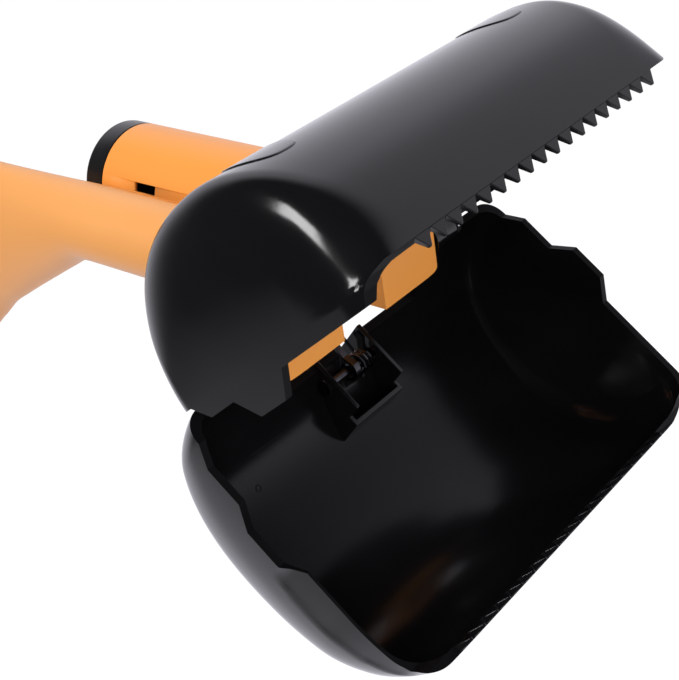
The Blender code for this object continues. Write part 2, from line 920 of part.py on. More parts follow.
def build_crosshead():
    name = "crosshead"
    base = hinge_height + crosshead_height
    made = box(
        name,
        (-crosshead_half_width, -crosshead_half_thickness, base - crosshead_below),
        (crosshead_half_width, crosshead_half_thickness, base + crosshead_above),
        black_plastic(name),
    )
    slot_half = link_half_thickness + slide_gap
    slot = box(
        name + "_slot",
        (-slot_half, -crosshead_half_thickness - overrun, base - crosshead_below - overrun),
        (slot_half, crosshead_half_thickness + overrun, base + link_eye_radius + slide_gap),
    )
    bevel(made, small_edge)
    cut(made, slot, "link slot")
    reach = crosshead_half_width + overrun
    for side in (-1, 1):
        hole = rod_x(
            f"{name}_pin_hole_{side}",
            link_pin_radius + pin_gap,
            -reach,
            reach,
            side * crosshead_pin_place,
            base,
        )
        cut(made, hole, "pin hole")
    thread = lathe(name + "_rod_hole", [
        (0, base + link_eye_radius),
        (push_rod_radius + touch_gap, base + link_eye_radius),
        (push_rod_radius + touch_gap, base + crosshead_above + overrun),
        (0, base + crosshead_above + overrun),
    ], sides=pin_sides)
    return smooth(cut(made, thread, "rod hole"))


def build_crosshead_pin(name, side):
    reach = crosshead_half_width + touch_gap
    return smooth(rod_x(
        name,
        link_pin_radius,
        -reach,
        reach,
        side * crosshead_pin_place,
        hinge_height + crosshead_height,
        blackened_steel(name),
    ))


def tray_pin_place():
    """The link's lower pin in the world while the jaws stand open, as (outwards, height above the hinge)."""
    out = tray_pin_out * math.cos(open_angle) + tray_pin_along * math.sin(open_angle)
    height = tray_pin_out * math.sin(open_angle) - tray_pin_along * math.cos(open_angle)
    return out, height


def build_link(name, side):
    """A flat link between the crosshead and one jaw, its origin on the crosshead's pin."""
    out, height = tray_pin_place()
    run = Vector((0, out - crosshead_pin_place, height - crosshead_height))
    length = run.length
    lean = math.atan2(run.y, -run.z)
    sides = pin_sides
    outline = []
    for step in range(sides + 1):
        turn = half_turn * step / sides
        outline.append((link_eye_radius * math.cos(turn), link_eye_radius * math.sin(turn)))
    outline.append((-link_waist, -link_eye_radius))
    outline.append((-link_waist, -length + link_lower_eye_radius))
    for step in range(sides + 1):
        turn = half_turn + half_turn * step / sides
        low = -length + link_lower_eye_radius * math.sin(turn)
        outline.append((link_lower_eye_radius * math.cos(turn), low))
    outline.append((link_waist, -length + link_lower_eye_radius))
    outline.append((link_waist, -link_eye_radius))
    made = prism_x(name, outline, -link_half_thickness, link_half_thickness, blackened_steel(name))
    cut(made, rod_x(name + "_upper_hole", link_pin_radius + pin_gap, -overrun, overrun), "upper hole")
    lower = rod_x(name + "_lower_hole", tray_pin_radius + link_lower_clearance, -overrun, overrun, 0.0, -length)
    cut(made, lower, "lower hole")
    made.location = (0, side * crosshead_pin_place, hinge_height + crosshead_height)
    made.rotation_euler = (lean, 0, half_turn if side < 0 else 0)
    return smooth(made)


def build_push_rod():
    name = "push_rod"
    base = hinge_height
    bottom = base + crosshead_height + link_eye_radius + touch_gap
    collar = base + push_rod_spring_collar_place
    top = base + trigger_pivot_height - clevis_below + overrun
    radius = push_rod_radius
    return smooth(lathe(name, [
        (0, bottom),
        (radius, bottom),
        (radius, collar),
        (push_rod_spring_collar_radius, collar),
        (push_rod_spring_collar_radius, collar + push_rod_spring_collar_height),
        (radius, collar + push_rod_spring_collar_height),
        (radius, top),
        (0, top),
    ], bright_steel(name), pin_sides))


def build_return_spring():
    name = "return_spring"
    start = hinge_height + socket_floor + guide_bush_height + touch_gap + touch_gap + return_spring_wire
    end = hinge_height + push_rod_spring_collar_place - touch_gap - return_spring_wire
    total = return_spring_curls * points_per_curl
    path = []
    for step in range(total + 1):
        turn = full_turn * step / points_per_curl
        path.append((
            return_spring_radius * math.cos(turn),
            return_spring_radius * math.sin(turn),
            start + (end - start) * step / total,
        ))
    return wire_solid(name, path, return_spring_wire, bright_steel(name))


def build_torsion_spring(name, turned):
    """A jaw spring coiled on the link pin, its long leg lying along the jaw's inside."""
    total = int(torsion_curls * points_per_curl)
    leg_way = Vector((0, math.cos(quarter_turn * half), -math.sin(quarter_turn * half)))
    path = []
    start = leg_way * torsion_radius
    tangent = Vector((0, math.sin(quarter_turn * half), math.cos(quarter_turn * half)))
    place = torsion_inner_place
    path.append((place, start.y - tangent.y * torsion_tail, start.z - tangent.z * torsion_tail))
    for step in range(total + 1):
        turn = full_turn * step / points_per_curl - quarter_turn * half
        path.append((
            place + torsion_pitch * step / points_per_curl,
            torsion_radius * math.cos(turn),
            torsion_radius * math.sin(turn),
        ))
    last = Vector(path[-1])
    before = Vector(path[-2])
    away = (last - before)
    away.x = 0
    away.normalize()
    path.append(tuple(last + away * torsion_leg))
    path = [(x, y + tray_pin_out, z - tray_pin_along) for x, y, z in path]
    made = wire_solid(name, path, torsion_wire, blackened_steel(name))
    return place_jaw(made, turned)


# Trigger

def build_trigger():
    """The squeezed lever about its pivot: the finger blade leans up and out, the short arm reaches the rod."""
    name = "trigger"
    front = []
    back = []
    lean = math.atan2(trigger_tip_out, trigger_tip_height)
    length = math.hypot(trigger_tip_out, trigger_tip_height)
    for step in range(trigger_steps + 1):
        share = step / trigger_steps
        along = length * share
        bow = -trigger_scallop * math.sin(half_turn * share)
        wave = trigger_scallop * half * math.cos(full_turn * trigger_scallop_count * share)
        middle_y = along * math.sin(lean) + bow
        middle_z = along * math.cos(lean)
        front.append((middle_y + trigger_thickness - wave, middle_z))
        back.append((middle_y - trigger_thickness, middle_z))
    tip = (trigger_tip_out, trigger_tip_height + trigger_thickness)
    outline = front + [tip] + list(reversed(back))
    made = prism_x(name, outline, -trigger_half_width, trigger_half_width, black_plastic(name))
    hub = rod_x(name + "_hub", trigger_hub_radius, -trigger_half_width, trigger_half_width, sides=round_sides)
    bevel(made, soft_edge)
    unite(made, hub, "hub")
    arm_end = -trigger_arm_reach
    arm = box(
        name + "_arm",
        (-trigger_arm_half_width, arm_end, -trigger_arm_depth * half - small_edge),
        (trigger_arm_half_width, 0.0, trigger_arm_depth * half + small_edge),
    )
    unite(made, arm, "short arm")
    slot_half = trigger_arm_slot_half
    slot_radius = clevis_pin_radius + slide_gap
    slot_shape = []
    for step in range(pin_sides + 1):
        turn = -quarter_turn + half_turn * step / pin_sides
        slot_shape.append((slot_half + slot_radius * math.cos(turn), slot_radius * math.sin(turn)))
    for step in range(pin_sides + 1):
        turn = quarter_turn + half_turn * step / pin_sides
        slot_shape.append((-slot_half + slot_radius * math.cos(turn), slot_radius * math.sin(turn)))
    placed = [(y - trigger_arm_slot_place, z) for y, z in slot_shape]
    cut(made, prism_x(name + "_arm_slot", placed, -overrun, overrun), "arm slot")
    reach = trigger_half_width + overrun
    cut(made, rod_x(name + "_pin_hole", trigger_pin_radius + pin_gap, -reach, reach), "pin hole")
    made.location = (0, trigger_pivot_out, hinge_height + trigger_pivot_height)
    return smooth(made)


def build_trigger_pin():
    name = "trigger_pin"
    reach = trigger_pin_half_length
    rings = []
    for radius, x in (
        (trigger_pin_head_radius, -reach - trigger_pin_head_height),
        (trigger_pin_head_radius, -reach),
        (trigger_pin_radius, -reach),
        (trigger_pin_radius, reach),
    ):
        ring = []
        for side in range(pin_sides):
            turn = full_turn * side / pin_sides
            ring.append((
                x,
                trigger_pivot_out + radius * math.cos(turn),
                hinge_height + trigger_pivot_height + radius * math.sin(turn),
            ))
        rings.append(ring)
    return smooth(loft(name, rings, bright_steel(name)))


def build_clevis():
    name = "rod_clevis"
    base = hinge_height + trigger_pivot_height
    made = box(
        name,
        (-clevis_half_width, -clevis_half_depth, base - clevis_below),
        (clevis_half_width, clevis_half_depth, base + clevis_above),
        black_plastic(name),
    )
    bevel(made, small_edge)
    slot = box(
        name + "_slot",
        (-clevis_slot_half_width, -clevis_half_depth - overrun, base - clevis_slot_length),
        (clevis_slot_half_width, clevis_half_depth + overrun, base + clevis_above + overrun),
    )
    cut(made, slot, "arm slot")
    reach = clevis_half_width + overrun
    cut(made, rod_x(name + "_pin_hole", clevis_pin_radius + pin_gap, -reach, reach, 0.0, base), "pin hole")
    hole = lathe(name + "_rod_hole", [
        (0, base - clevis_below - overrun),
        (push_rod_radius + touch_gap, base - clevis_below - overrun),
        (push_rod_radius + touch_gap, base - clevis_below + overrun + touch_gap),
        (0, base - clevis_below + overrun + touch_gap),
    ], sides=pin_sides)
    return smooth(cut(made, hole, "rod hole"))


def build_clevis_pin():
    name = "clevis_pin"
    reach = clevis_half_width + touch_gap
    height = hinge_height + trigger_pivot_height
    return smooth(rod_x(name, clevis_pin_radius, -reach, reach, 0.0, height, bright_steel(name)))


# Bag dispenser

def move_to_tube(item):
    item.location = (tube_place, 0, hinge_height)
    return item


def build_dispenser_tube():
    name = "dispenser_tube"
    inner = tube_radius - tube_wall
    made = lathe(name, [
        (inner, tube_bottom),
        (tube_radius, tube_bottom),
        (tube_radius, tube_top),
        (inner, tube_top),
    ], orange_plastic(name), fine_sides)
    slot = box(
        name + "_exit_slot",
        (inner - overrun, -exit_slot_half_width, exit_slot_bottom),
        (tube_radius + overrun, exit_slot_half_width, exit_slot_top),
    )
    slot.rotation_euler = (0, 0, exit_slot_angle)
    cut(made, slot, "exit slot")
    return move_to_tube(smooth(made))


def build_dispenser_cap():
    name = "dispenser_cap"
    inner = tube_radius - tube_wall - slide_gap
    bottom = tube_top + touch_gap
    top = bottom + dispenser_cap_height - dispenser_cap_crown
    made = lathe(name, [
        (0, bottom),
        (inner - tube_wall, bottom),
        (inner - tube_wall, bottom - dispenser_cap_skirt),
        (inner, bottom - dispenser_cap_skirt),
        (inner, bottom),
        (tube_radius, bottom),
        (tube_radius, top),
        (tube_radius - dispenser_cap_crown, top + dispenser_cap_crown),
        (0, top + dispenser_cap_crown),
    ], black_plastic(name), fine_sides)
    return move_to_tube(smooth(made))


def build_dispenser_plug():
    name = "dispenser_plug"
    inner = tube_radius - tube_wall - touch_gap
    bottom = tube_bottom - touch_gap
    made = lathe(name, [
        (0, bottom - plug_height),
        (tube_radius - small_edge, bottom - plug_height),
        (tube_radius, bottom - plug_height + small_edge),
        (tube_radius, bottom),
        (inner, bottom),
        (inner, bottom + plug_skirt),
        (inner - tube_wall, bottom + plug_skirt),
        (inner - tube_wall, bottom),
        (0, bottom),
    ], black_plastic(name), fine_sides)
    return move_to_tube(smooth(made))


def build_clamp():
    """A band round the handle with a saddle that carries the tube."""
    name = "dispenser_clamp"
    base = hinge_height
    hold = handle_radius + touch_gap
    saddle = tube_radius + touch_gap
    made = lathe(name, [
        (0, base + clamp_bottom),
        (hold + clamp_wall, base + clamp_bottom),
        (hold + clamp_wall, base + clamp_top),
        (0, base + clamp_top),
    ], orange_plastic(name), fine_sides)
    ring = lathe(name + "_saddle", [
        (0, base + clamp_bottom + small_edge),
        (saddle + clamp_wall, base + clamp_bottom + small_edge),
        (saddle + clamp_wall, base + clamp_top - small_edge),
        (0, base + clamp_top - small_edge),
    ], sides=fine_sides)
    ring.location = (tube_place, 0, 0)
    unite(made, ring, "saddle")
    ear = box(
        name + "_ear",
        (-hold - clamp_wall - clamp_ear_reach, -clamp_ear_half_width, base + clamp_bottom + soft_edge),
        (-hold - clamp_wall * half, clamp_ear_half_width, base + clamp_top - soft_edge),
    )
    unite(made, ear, "ear")
    for middle, radius in ((0.0, hold), (tube_place, saddle)):
        bore = lathe(f"{name}_bore_{radius}", [
            (0, base + clamp_bottom - overrun),
            (radius, base + clamp_bottom - overrun),
            (radius, base + clamp_top + overrun),
            (0, base + clamp_top + overrun),
        ], sides=fine_sides)
        bore.location = (middle, 0, 0)
        cut(made, bore, "bore")
    split = box(
        name + "_split",
        (-hold - clamp_wall - clamp_ear_reach - overrun, -clamp_split, base + clamp_bottom - overrun),
        (-hold + overrun, clamp_split, base + clamp_top + overrun),
    )
    cut(made, split, "split")
    cut(made, clamp_screw_form(name + "_screw_room", touch_gap), "screw room")
    # The exact solver leaves this band open
    for modifier in made.modifiers:
        modifier.solver = "MANIFOLD"
    return smooth(made)


def clamp_screw_form(name, grown, material=None):
    """The clamp's screw along Y through both ears."""
    x = -handle_radius - clamp_wall - clamp_ear_reach * half
    height = hinge_height + (clamp_bottom + clamp_top) * half
    head_start = -clamp_ear_half_width - clamp_screw_head_height + socket_screw_head_height * half
    tip = clamp_ear_half_width - small_edge
    rings = []
    for radius, y in (
        (clamp_screw_head_radius + grown, head_start - (overrun if grown else 0.0)),
        (clamp_screw_head_radius + grown, head_start + clamp_screw_head_height + grown),
        (clamp_screw_radius + grown, head_start + clamp_screw_head_height + grown),
        (clamp_screw_radius + grown, tip + grown),
    ):
        ring = []
        for step in range(pin_sides):
            turn = full_turn * step / pin_sides
            ring.append((x + radius * math.cos(turn), y, height + radius * math.sin(turn)))
        rings.append(ring)
    return loft(name, rings, material)


def build_clamp_screw():
    name = "clamp_screw"
    return smooth(clamp_screw_form(name, 0.0, bright_steel(name)))


# Placing the whole tool

def lay_down():
    """Lays the upright build down: its handle along +Y, centred over the ground, its lowest point on it."""
    base = bpy.data.objects.new("base", None)
    bpy.context.collection.objects.link(base)
    loose = [item for item in bpy.data.objects if item.parent is None and item is not base]
    for item in loose:
        item.parent = base
    base.rotation_euler = (-quarter_turn, 0, 0)
    bpy.context.view_layer.update()
    shapes = bpy.context.evaluated_depsgraph_get()
    points = []
    for item in loose:
        solid = item.evaluated_get(shapes)
        points.extend(solid.matrix_world @ vertex.co for vertex in solid.data.vertices)
    low = [min(point[axis] for point in points) for axis in range(3)]
    high = [max(point[axis] for point in points) for axis in range(3)]
    base.location = (-(low[0] + high[0]) * half, -(low[1] + high[1]) * half, -low[2])
    bpy.context.view_layer.update()


def main():
    clear_scene()
    place_jaw(build_jaw("lower_jaw"), False)
    place_jaw(build_jaw("upper_jaw"), True)
    build_tray_pin("lower_jaw_link_pin", False)
    build_tray_pin("upper_jaw_link_pin", True)
    build_hinge_pin("hinge_pin_left", -1)
    build_hinge_pin("hinge_pin_right", 1)
    build_head()
    build_socket_screw("socket_screw_left", -1)
    build_socket_screw("socket_screw_right", 1)
    build_handle()
    build_guide_bush()
    build_grip_sleeve()
    build_end_cap()
    build_crosshead()
    build_crosshead_pin("lower_link_pin", 1)
    build_crosshead_pin("upper_link_pin", -1)
    build_link("lower_link", 1)
    build_link("upper_link", -1)
    build_push_rod()
    build_return_spring()
    build_torsion_spring("lower_jaw_spring", False)
    build_torsion_spring("upper_jaw_spring", True)
    build_trigger()
    build_trigger_pin()
    build_clevis()
    build_clevis_pin()
    build_dispenser_tube()
    build_dispenser_cap()
    build_dispenser_plug()
    build_clamp()
    build_clamp_screw()
    lay_down()


main()
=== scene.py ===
import json
import math
from functools import partial

import bmesh
import bpy
import numpy as np
from mathutils import Matrix, Vector


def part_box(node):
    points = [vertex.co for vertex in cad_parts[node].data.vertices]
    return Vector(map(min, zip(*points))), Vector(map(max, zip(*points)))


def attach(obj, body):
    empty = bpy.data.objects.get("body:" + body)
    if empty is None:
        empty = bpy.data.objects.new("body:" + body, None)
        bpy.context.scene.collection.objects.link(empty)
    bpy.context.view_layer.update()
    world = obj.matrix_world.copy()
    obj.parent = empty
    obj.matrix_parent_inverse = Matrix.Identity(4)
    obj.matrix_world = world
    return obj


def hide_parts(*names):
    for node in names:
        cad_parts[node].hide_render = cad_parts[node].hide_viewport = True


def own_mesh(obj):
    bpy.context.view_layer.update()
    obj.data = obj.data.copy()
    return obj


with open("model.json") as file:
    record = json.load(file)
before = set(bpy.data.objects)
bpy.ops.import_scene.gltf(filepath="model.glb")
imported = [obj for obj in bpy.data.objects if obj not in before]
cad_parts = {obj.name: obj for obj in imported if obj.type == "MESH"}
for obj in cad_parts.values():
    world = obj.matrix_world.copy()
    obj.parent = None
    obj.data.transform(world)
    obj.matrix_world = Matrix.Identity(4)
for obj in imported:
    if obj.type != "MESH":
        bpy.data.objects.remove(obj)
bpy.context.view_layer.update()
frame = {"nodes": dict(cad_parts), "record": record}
print("frame loaded")

mm = 0.001
nodes = frame["nodes"]
mergeReach = 1e-6
axisRadius = 1e-9

# The hinge is where every piece is measured from: x along it, y out to the lower jaw, z up the handle
pinLow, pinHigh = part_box("hinge_pin_left")
hingeY = (pinLow.y + pinHigh.y) / 2
hingeZ = (pinLow.z + pinHigh.z) / 2
openAngle = math.radians(39)


class Value:
    # a node's output as a number: sums and products on it add Math nodes
    def __init__(self, sheet, socket):
        self.sheet = sheet
        self.socket = socket

    def math(self, operation, first, second):
        return self.sheet.node("ShaderNodeMath", {"operation": operation}, {0: first, 1: second})

    def __add__(self, other):
        return self.math("ADD", self, other)

    def __radd__(self, other):
        return self.math("ADD", other, self)

    def __rsub__(self, other):
        return self.math("SUBTRACT", other, self)

    def __mul__(self, other):
        return self.math("MULTIPLY", self, other)

    def larger(self, other):
        return self.math("MAXIMUM", self, other)


class Sheet:
    # the nodes of one material, or of the world
    def __init__(self, owner, coordinates="Object"):
        owner.use_nodes = True
        self.owner = owner
        self.tree = owner.node_tree
        self.shader = self.tree.nodes.get("Principled BSDF")
        self.place = self.node("ShaderNodeTexCoord", {}, {}, coordinates)

    def node(self, kind, settings, sockets, output=0):
        made = self.tree.nodes.new(kind)
        for key, setting in settings.items():
            setattr(made, key, setting)
        for key, value in sockets.items():
            self.feed(made.inputs[key], value)
        return Value(self, made.outputs[output])

    def feed(self, socket, value):
        if isinstance(value, Value):
            self.tree.links.new(value.socket, socket)
        else:
            socket.default_value = value

    def surface(self, **values):
        for key, value in values.items():
            self.feed(self.shader.inputs[key.replace("_", " ")], value)

    def noise(self, scale, detail=4.0, roughness=0.55, stretch=(1, 1, 1)):
        spot = self.node("ShaderNodeMapping", {}, {"Vector": self.place, "Scale": stretch})
        return self.node("ShaderNodeTexNoise", {}, {
            "Vector": spot, "Scale": scale, "Detail": detail, "Roughness": roughness})

    def blend(self, share, first, second):
        # colours by a share from 0 to 1
        return self.node("ShaderNodeMix", {"data_type": "RGBA"}, {
            "Factor": share, 6: (*first, 1), 7: (*second, 1)}, 2)

    def within(self, value, low, high, first=0.0, last=1.0, curve="LINEAR"):
        # from first, where the value is low, to last, where it is high, and no further
        return self.node("ShaderNodeMapRange", {"clamp": True, "interpolation_type": curve}, {
            "Value": value, "From Min": low, "From Max": high, "To Min": first, "To Max": last})

    def bump(self, height, strength, distance):
        return self.node("ShaderNodeBump", {}, {
            "Height": height, "Strength": strength, "Distance": distance})

    def along(self, way):
        # how much the place lies along a direction
        return self.node("ShaderNodeVectorMath", {"operation": "DOT_PRODUCT"}, {
            0: self.place, 1: way}, "Value")

    def ray(self, first, *others):
        # 1 where the ray is of one of these kinds, otherwise 0
        found = self.node("ShaderNodeLightPath", {}, {}, first)
        for kind in others:
            found = found.larger(self.node("ShaderNodeLightPath", {}, {}, kind))
        return found


finishes = {
    "jawBlack": {
        "colour": (0.0025, 0.0024, 0.0027), "grey": (0.0036, 0.0035, 0.0039),
        "roughness": 0.12, "shine": 0.50},
    # The inner faces' copy below has less shine than the outside: painted shade, standing in for the shade
    # the two jaws cast into each other
    "jawShadedInside": {
        "colour": (0.0025, 0.0024, 0.0027), "grey": (0.0040, 0.0038, 0.0042),
        "roughness": 0.15, "shine": 0.25},
    # The rim's and the cut faces' copy below is nearly matte: painted shade that keeps them dark
    "jawShadedEdges": {
        "colour": (0.0025, 0.0024, 0.0027), "grey": (0.0036, 0.0035, 0.0039),
        "roughness": 0.42, "shine": 0.06},
    "capBlack": {
        "colour": (0.0050, 0.0050, 0.0055), "grey": (0.0090, 0.0090, 0.0098),
        "roughness": 0.30, "shine": 0.35},
    "triggerBlack": {
        "colour": (0.0060, 0.0060, 0.0066), "grey": (0.0100, 0.0100, 0.0108),
        "roughness": 0.36, "shine": 0.40},
    "handleOrange": {"colour": (0.770, 0.336, 0.094), "deep": (0.750, 0.318, 0.082), "roughness": 0.40},
    "tubeOrange": {"colour": (0.820, 0.310, 0.052), "deep": (0.795, 0.292, 0.045), "roughness": 0.36},
    "headOrange": {"colour": (0.840, 0.330, 0.060), "deep": (0.800, 0.300, 0.050), "roughness": 0.38},
    "gripRubber": {"colour": (0.014, 0.014, 0.015), "dusty": (0.030, 0.029, 0.028), "roughness": 0.66},
    "brightSteel": {"colour": (0.62, 0.62, 0.63), "roughness": 0.22},
    "darkSteel": {"colour": (0.10, 0.10, 0.11), "roughness": 0.26},
}

# A noise is given as its scale, detail, roughness and stretch, and a bump as its strength and depth
blackSkin = {
    "flow": (24, 3, 0.5, (1, 1, 2.2)), "flowRange": (0.35, 0.7), "flowDulls": 0.05, "flowLifts": 1.5,
    "scuff": (420, 5, 0.7, (1, 6, 1)), "scuffRange": (0.55, 0.80), "scuffDulls": 0.09,
    "peel": (900, 2), "bump": (0.10, 0.00006),
}


def blackPlastic(name, look):
    # glossy moulded plastic: faint flow marks, fine scuffs and a skin that isn't quite flat
    sheet = Sheet(bpy.data.materials.new(name))
    flow = sheet.noise(*blackSkin["flow"])
    scuff = sheet.within(sheet.noise(*blackSkin["scuff"]), *blackSkin["scuffRange"])
    peel = sheet.noise(*blackSkin["peel"])
    sheet.surface(
        Base_Color=sheet.blend(sheet.within(flow, *blackSkin["flowRange"]), look["colour"], look["grey"]),
        Roughness=look["roughness"] + flow * blackSkin["flowDulls"] + scuff * blackSkin["scuffDulls"],
        Normal=sheet.bump(peel + flow * blackSkin["flowLifts"], *blackSkin["bump"]),
        Specular_IOR_Level=look["shine"])
    return sheet.owner


orangeSkin = {
    "cloud": (11, 3), "cloudRange": (0.3, 0.75), "cloudDulls": 0.05,
    "rub": (150, 6, 0.7, (5, 1, 5)), "rubRange": (0.62, 0.86), "rubDulls": 0.08,
    "grain": (2600, 3, 0.6), "bump": (0.16, 0.00005),
}


def orangePlastic(name, look):
    # satin moulded plastic: a fine grain, slow changes of colour and a few duller rubs
    sheet = Sheet(bpy.data.materials.new(name))
    cloud = sheet.noise(*orangeSkin["cloud"])
    rub = sheet.within(sheet.noise(*orangeSkin["rub"]), *orangeSkin["rubRange"])
    sheet.surface(
        Base_Color=sheet.blend(sheet.within(cloud, *orangeSkin["cloudRange"]), look["colour"], look["deep"]),
        Roughness=look["roughness"] + cloud * orangeSkin["cloudDulls"] + rub * orangeSkin["rubDulls"],
        Normal=sheet.bump(sheet.noise(*orangeSkin["grain"]), *orangeSkin["bump"]))
    return sheet.owner


rubberSkin = {
    "dust": (70, 6, 0.65), "dustRange": (0.45, 0.8), "dustDulls": 0.14,
    "grain": (3200, 3), "bump": (0.35, 0.00008),
}


def ribbedRubber(name, look):
    # dull rubber: a fine grain, with pale dust in patches
    sheet = Sheet(bpy.data.materials.new(name))
    dust = sheet.noise(*rubberSkin["dust"])
    sheet.surface(
        Base_Color=sheet.blend(sheet.within(dust, *rubberSkin["dustRange"]), look["colour"], look["dusty"]),
        Roughness=look["roughness"] + dust * rubberSkin["dustDulls"],
        Normal=sheet.bump(sheet.noise(*rubberSkin["grain"]), *rubberSkin["bump"]))
    return sheet.owner


steelSkin = {
    "lines": (1500, 4, 0.6, (0.08, 1, 1)), "linesDull": 0.12,
    "spots": (260, 5, 0.7), "spotsRange": (0.58, 0.78), "spotsDull": 0.10, "spotsDarken": 0.72,
    "bump": (0.12, 0.00004),
}


def drawnSteel(name, look):
    # bright or blackened wire and pins: fine lines along the piece and small dull spots
    sheet = Sheet(bpy.data.materials.new(name))
    lines = sheet.noise(*steelSkin["lines"])
    spots = sheet.within(sheet.noise(*steelSkin["spots"]), *steelSkin["spotsRange"])
    dull = tuple(steelSkin["spotsDarken"] * part for part in look["colour"])
    sheet.surface(
        Base_Color=sheet.blend(spots, look["colour"], dull),
        Roughness=look["roughness"] + lines * steelSkin["linesDull"] + spots * steelSkin["spotsDull"],
        Normal=sheet.bump(lines, *steelSkin["bump"]),
        Metallic=1.0)
    return sheet.owner


jawBlack = blackPlastic("jaw_black", finishes["jawBlack"])
jawShadedInside = blackPlastic("jaw_shaded_inside", finishes["jawShadedInside"])
jawShadedEdges = blackPlastic("jaw_shaded_edges", finishes["jawShadedEdges"])
capBlack = blackPlastic("cap_black", finishes["capBlack"])
triggerBlack = blackPlastic("trigger_black", finishes["triggerBlack"])
handleOrange = orangePlastic("handle_orange", finishes["handleOrange"])
tubeOrange = orangePlastic("tube_orange", finishes["tubeOrange"])
headOrange = orangePlastic("head_orange", finishes["headOrange"])
gripRubber = ribbedRubber("grip_rubber", finishes["gripRubber"])
brightSteel = drawnSteel("bright_steel", finishes["brightSteel"])
darkSteel = drawnSteel("dark_steel", finishes["darkSteel"])
print("finishes ready")


def placed(points):
    # from the hinge's own axes to the frame's: the handle lies along +Y and the lower jaw is below
    points = np.asarray(points, float)
    return np.stack([points[..., 0], points[..., 2] + hingeY, hingeZ - points[..., 1]], -1)


def jawPlaced(points, upper):
    # swings a closed jaw open about the hinge; the upper one is the same part turned half round
    points = np.asarray(points, float)
    x, y, z = points[..., 0], points[..., 1], points[..., 2]
    turned = np.stack([
        x,
        y * math.cos(openAngle) - z * math.sin(openAngle),
        y * math.sin(openAngle) + z * math.cos(openAngle)], -1)
    if upper:
        turned = turned * (-1, -1, 1)
    return placed(turned)


def fullTurn(steps):
    return np.linspace(0, 2 * math.pi, steps, endpoint=False)


def eased(share):
    share = np.clip(share, 0, 1)
    return share * share * (3 - 2 * share)


def signedPower(wave, power):
    return np.sign(wave) * np.abs(wave) ** power


def gridFaces(rows, columns, start=0, closedAcross=False, flipped=False):
    # quads between neighbouring points of a grid that is stored row by row
    across = columns if closedAcross else columns - 1
    row, column = np.meshgrid(np.arange(rows - 1), np.arange(across), indexing="ij")
    first = start + row * columns + column
    second = start + row * columns + (column + 1) % columns
    quads = np.stack([first, second, second + columns, first + columns], -1).reshape(-1, 4)
    return quads[:, ::-1] if flipped else quads


def endCaps(rows, columns):
    # one face across the first ring and one across the last
    return np.stack([np.arange(columns), np.arange(columns) + (rows - 1) * columns])


def makePiece(name, points, faces, material, body, smoothAngle=35.0, others=()):
    # others are the materials of the second and later blocks of faces, where those differ
    mesh = bpy.data.meshes.new(name)
    points = np.asarray(points, np.float32).reshape(-1, 3)
    mesh.vertices.add(len(points))
    mesh.vertices.foreach_set("co", points.ravel())
    sizes = np.concatenate([np.full(len(block), block.shape[1], np.int32) for block in faces])
    corners = np.concatenate([block.ravel() for block in faces]).astype(np.int32)
    mesh.loops.add(len(corners))
    mesh.loops.foreach_set("vertex_index", corners)
    mesh.polygons.add(len(sizes))
    mesh.polygons.foreach_set("loop_start", np.concatenate([[0], np.cumsum(sizes)[:-1]]).astype(np.int32))
    if others:
        numbers = np.repeat(np.arange(len(faces)), [len(block) for block in faces])
        mesh.polygons.foreach_set("material_index", numbers.astype(np.int32))
    mesh.update(calc_edges=True)
    mesh.validate()
    mesh.shade_smooth()
    mesh.set_sharp_from_angle(angle=math.radians(smoothAngle))
    for finish in (material, *others):
        mesh.materials.append(finish)
    piece = bpy.data.objects.new(name, mesh)
    bpy.context.scene.collection.objects.link(piece)
    if body:
        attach(piece, body)
    return piece


def faceOut(piece):
    # merges doubles and turns every face outwards
    work = bmesh.new()
    work.from_mesh(piece.data)
    bmesh.ops.remove_doubles(work, verts=work.verts, dist=mergeReach)
    bmesh.ops.recalc_face_normals(work, faces=work.faces)
    work.to_mesh(piece.data)
    work.free()
    return piece


def carve(piece, cutters, operation="DIFFERENCE"):
    # applies each cutter and throws it away
    for cutter in cutters:
        modifier = piece.modifiers.new("carve", "BOOLEAN")
        modifier.operation = operation
        modifier.solver = "EXACT"
        modifier.object = cutter
    bpy.context.view_layer.update()
    shaped = bpy.data.meshes.new_from_object(piece.evaluated_get(bpy.context.evaluated_depsgraph_get()))
    piece.modifiers.clear()
    piece.data = shaped
    for cutter in cutters:
        bpy.data.objects.remove(cutter)
    return piece


def soften(piece, width, segments=2, angle=40.0):
    modifier = piece.modifiers.new("soft edges", "BEVEL")
    modifier.width = width
    modifier.segments = segments
    modifier.limit_method = "ANGLE"
    modifier.angle_limit = math.radians(angle)
    modifier.harden_normals = True
    return piece


def block(name, low, high, place, material=None, body=None):
    corners = np.array([
        (x, y, z) for x in (low[0], high[0]) for y in (low[1], high[1]) for z in (low[2], high[2])])
    quads = np.array([(0, 1, 3, 2), (4, 6, 7, 5), (0, 4, 5, 1), (2, 3, 7, 6), (0, 2, 6, 4), (1, 5, 7, 3)])
    return faceOut(makePiece(name, place(corners), [quads], material or jawBlack, body))


def rodX(name, radius, start, end, middle, place, material=None, body=None, sides=48):
    # a round bar along x: a circle in y and z carried from start to end
    turn = fullTurn(sides)
    ring = np.stack([0 * turn, middle[0] + radius * np.cos(turn), middle[1] + radius * np.sin(turn)], -1)
    points = np.stack([ring + (start, 0, 0), ring + (end, 0, 0)])
    faces = [gridFaces(2, sides, closedAcross=True), endCaps(2, sides)]
    return faceOut(makePiece(name, place(points), faces, material or jawBlack, body))


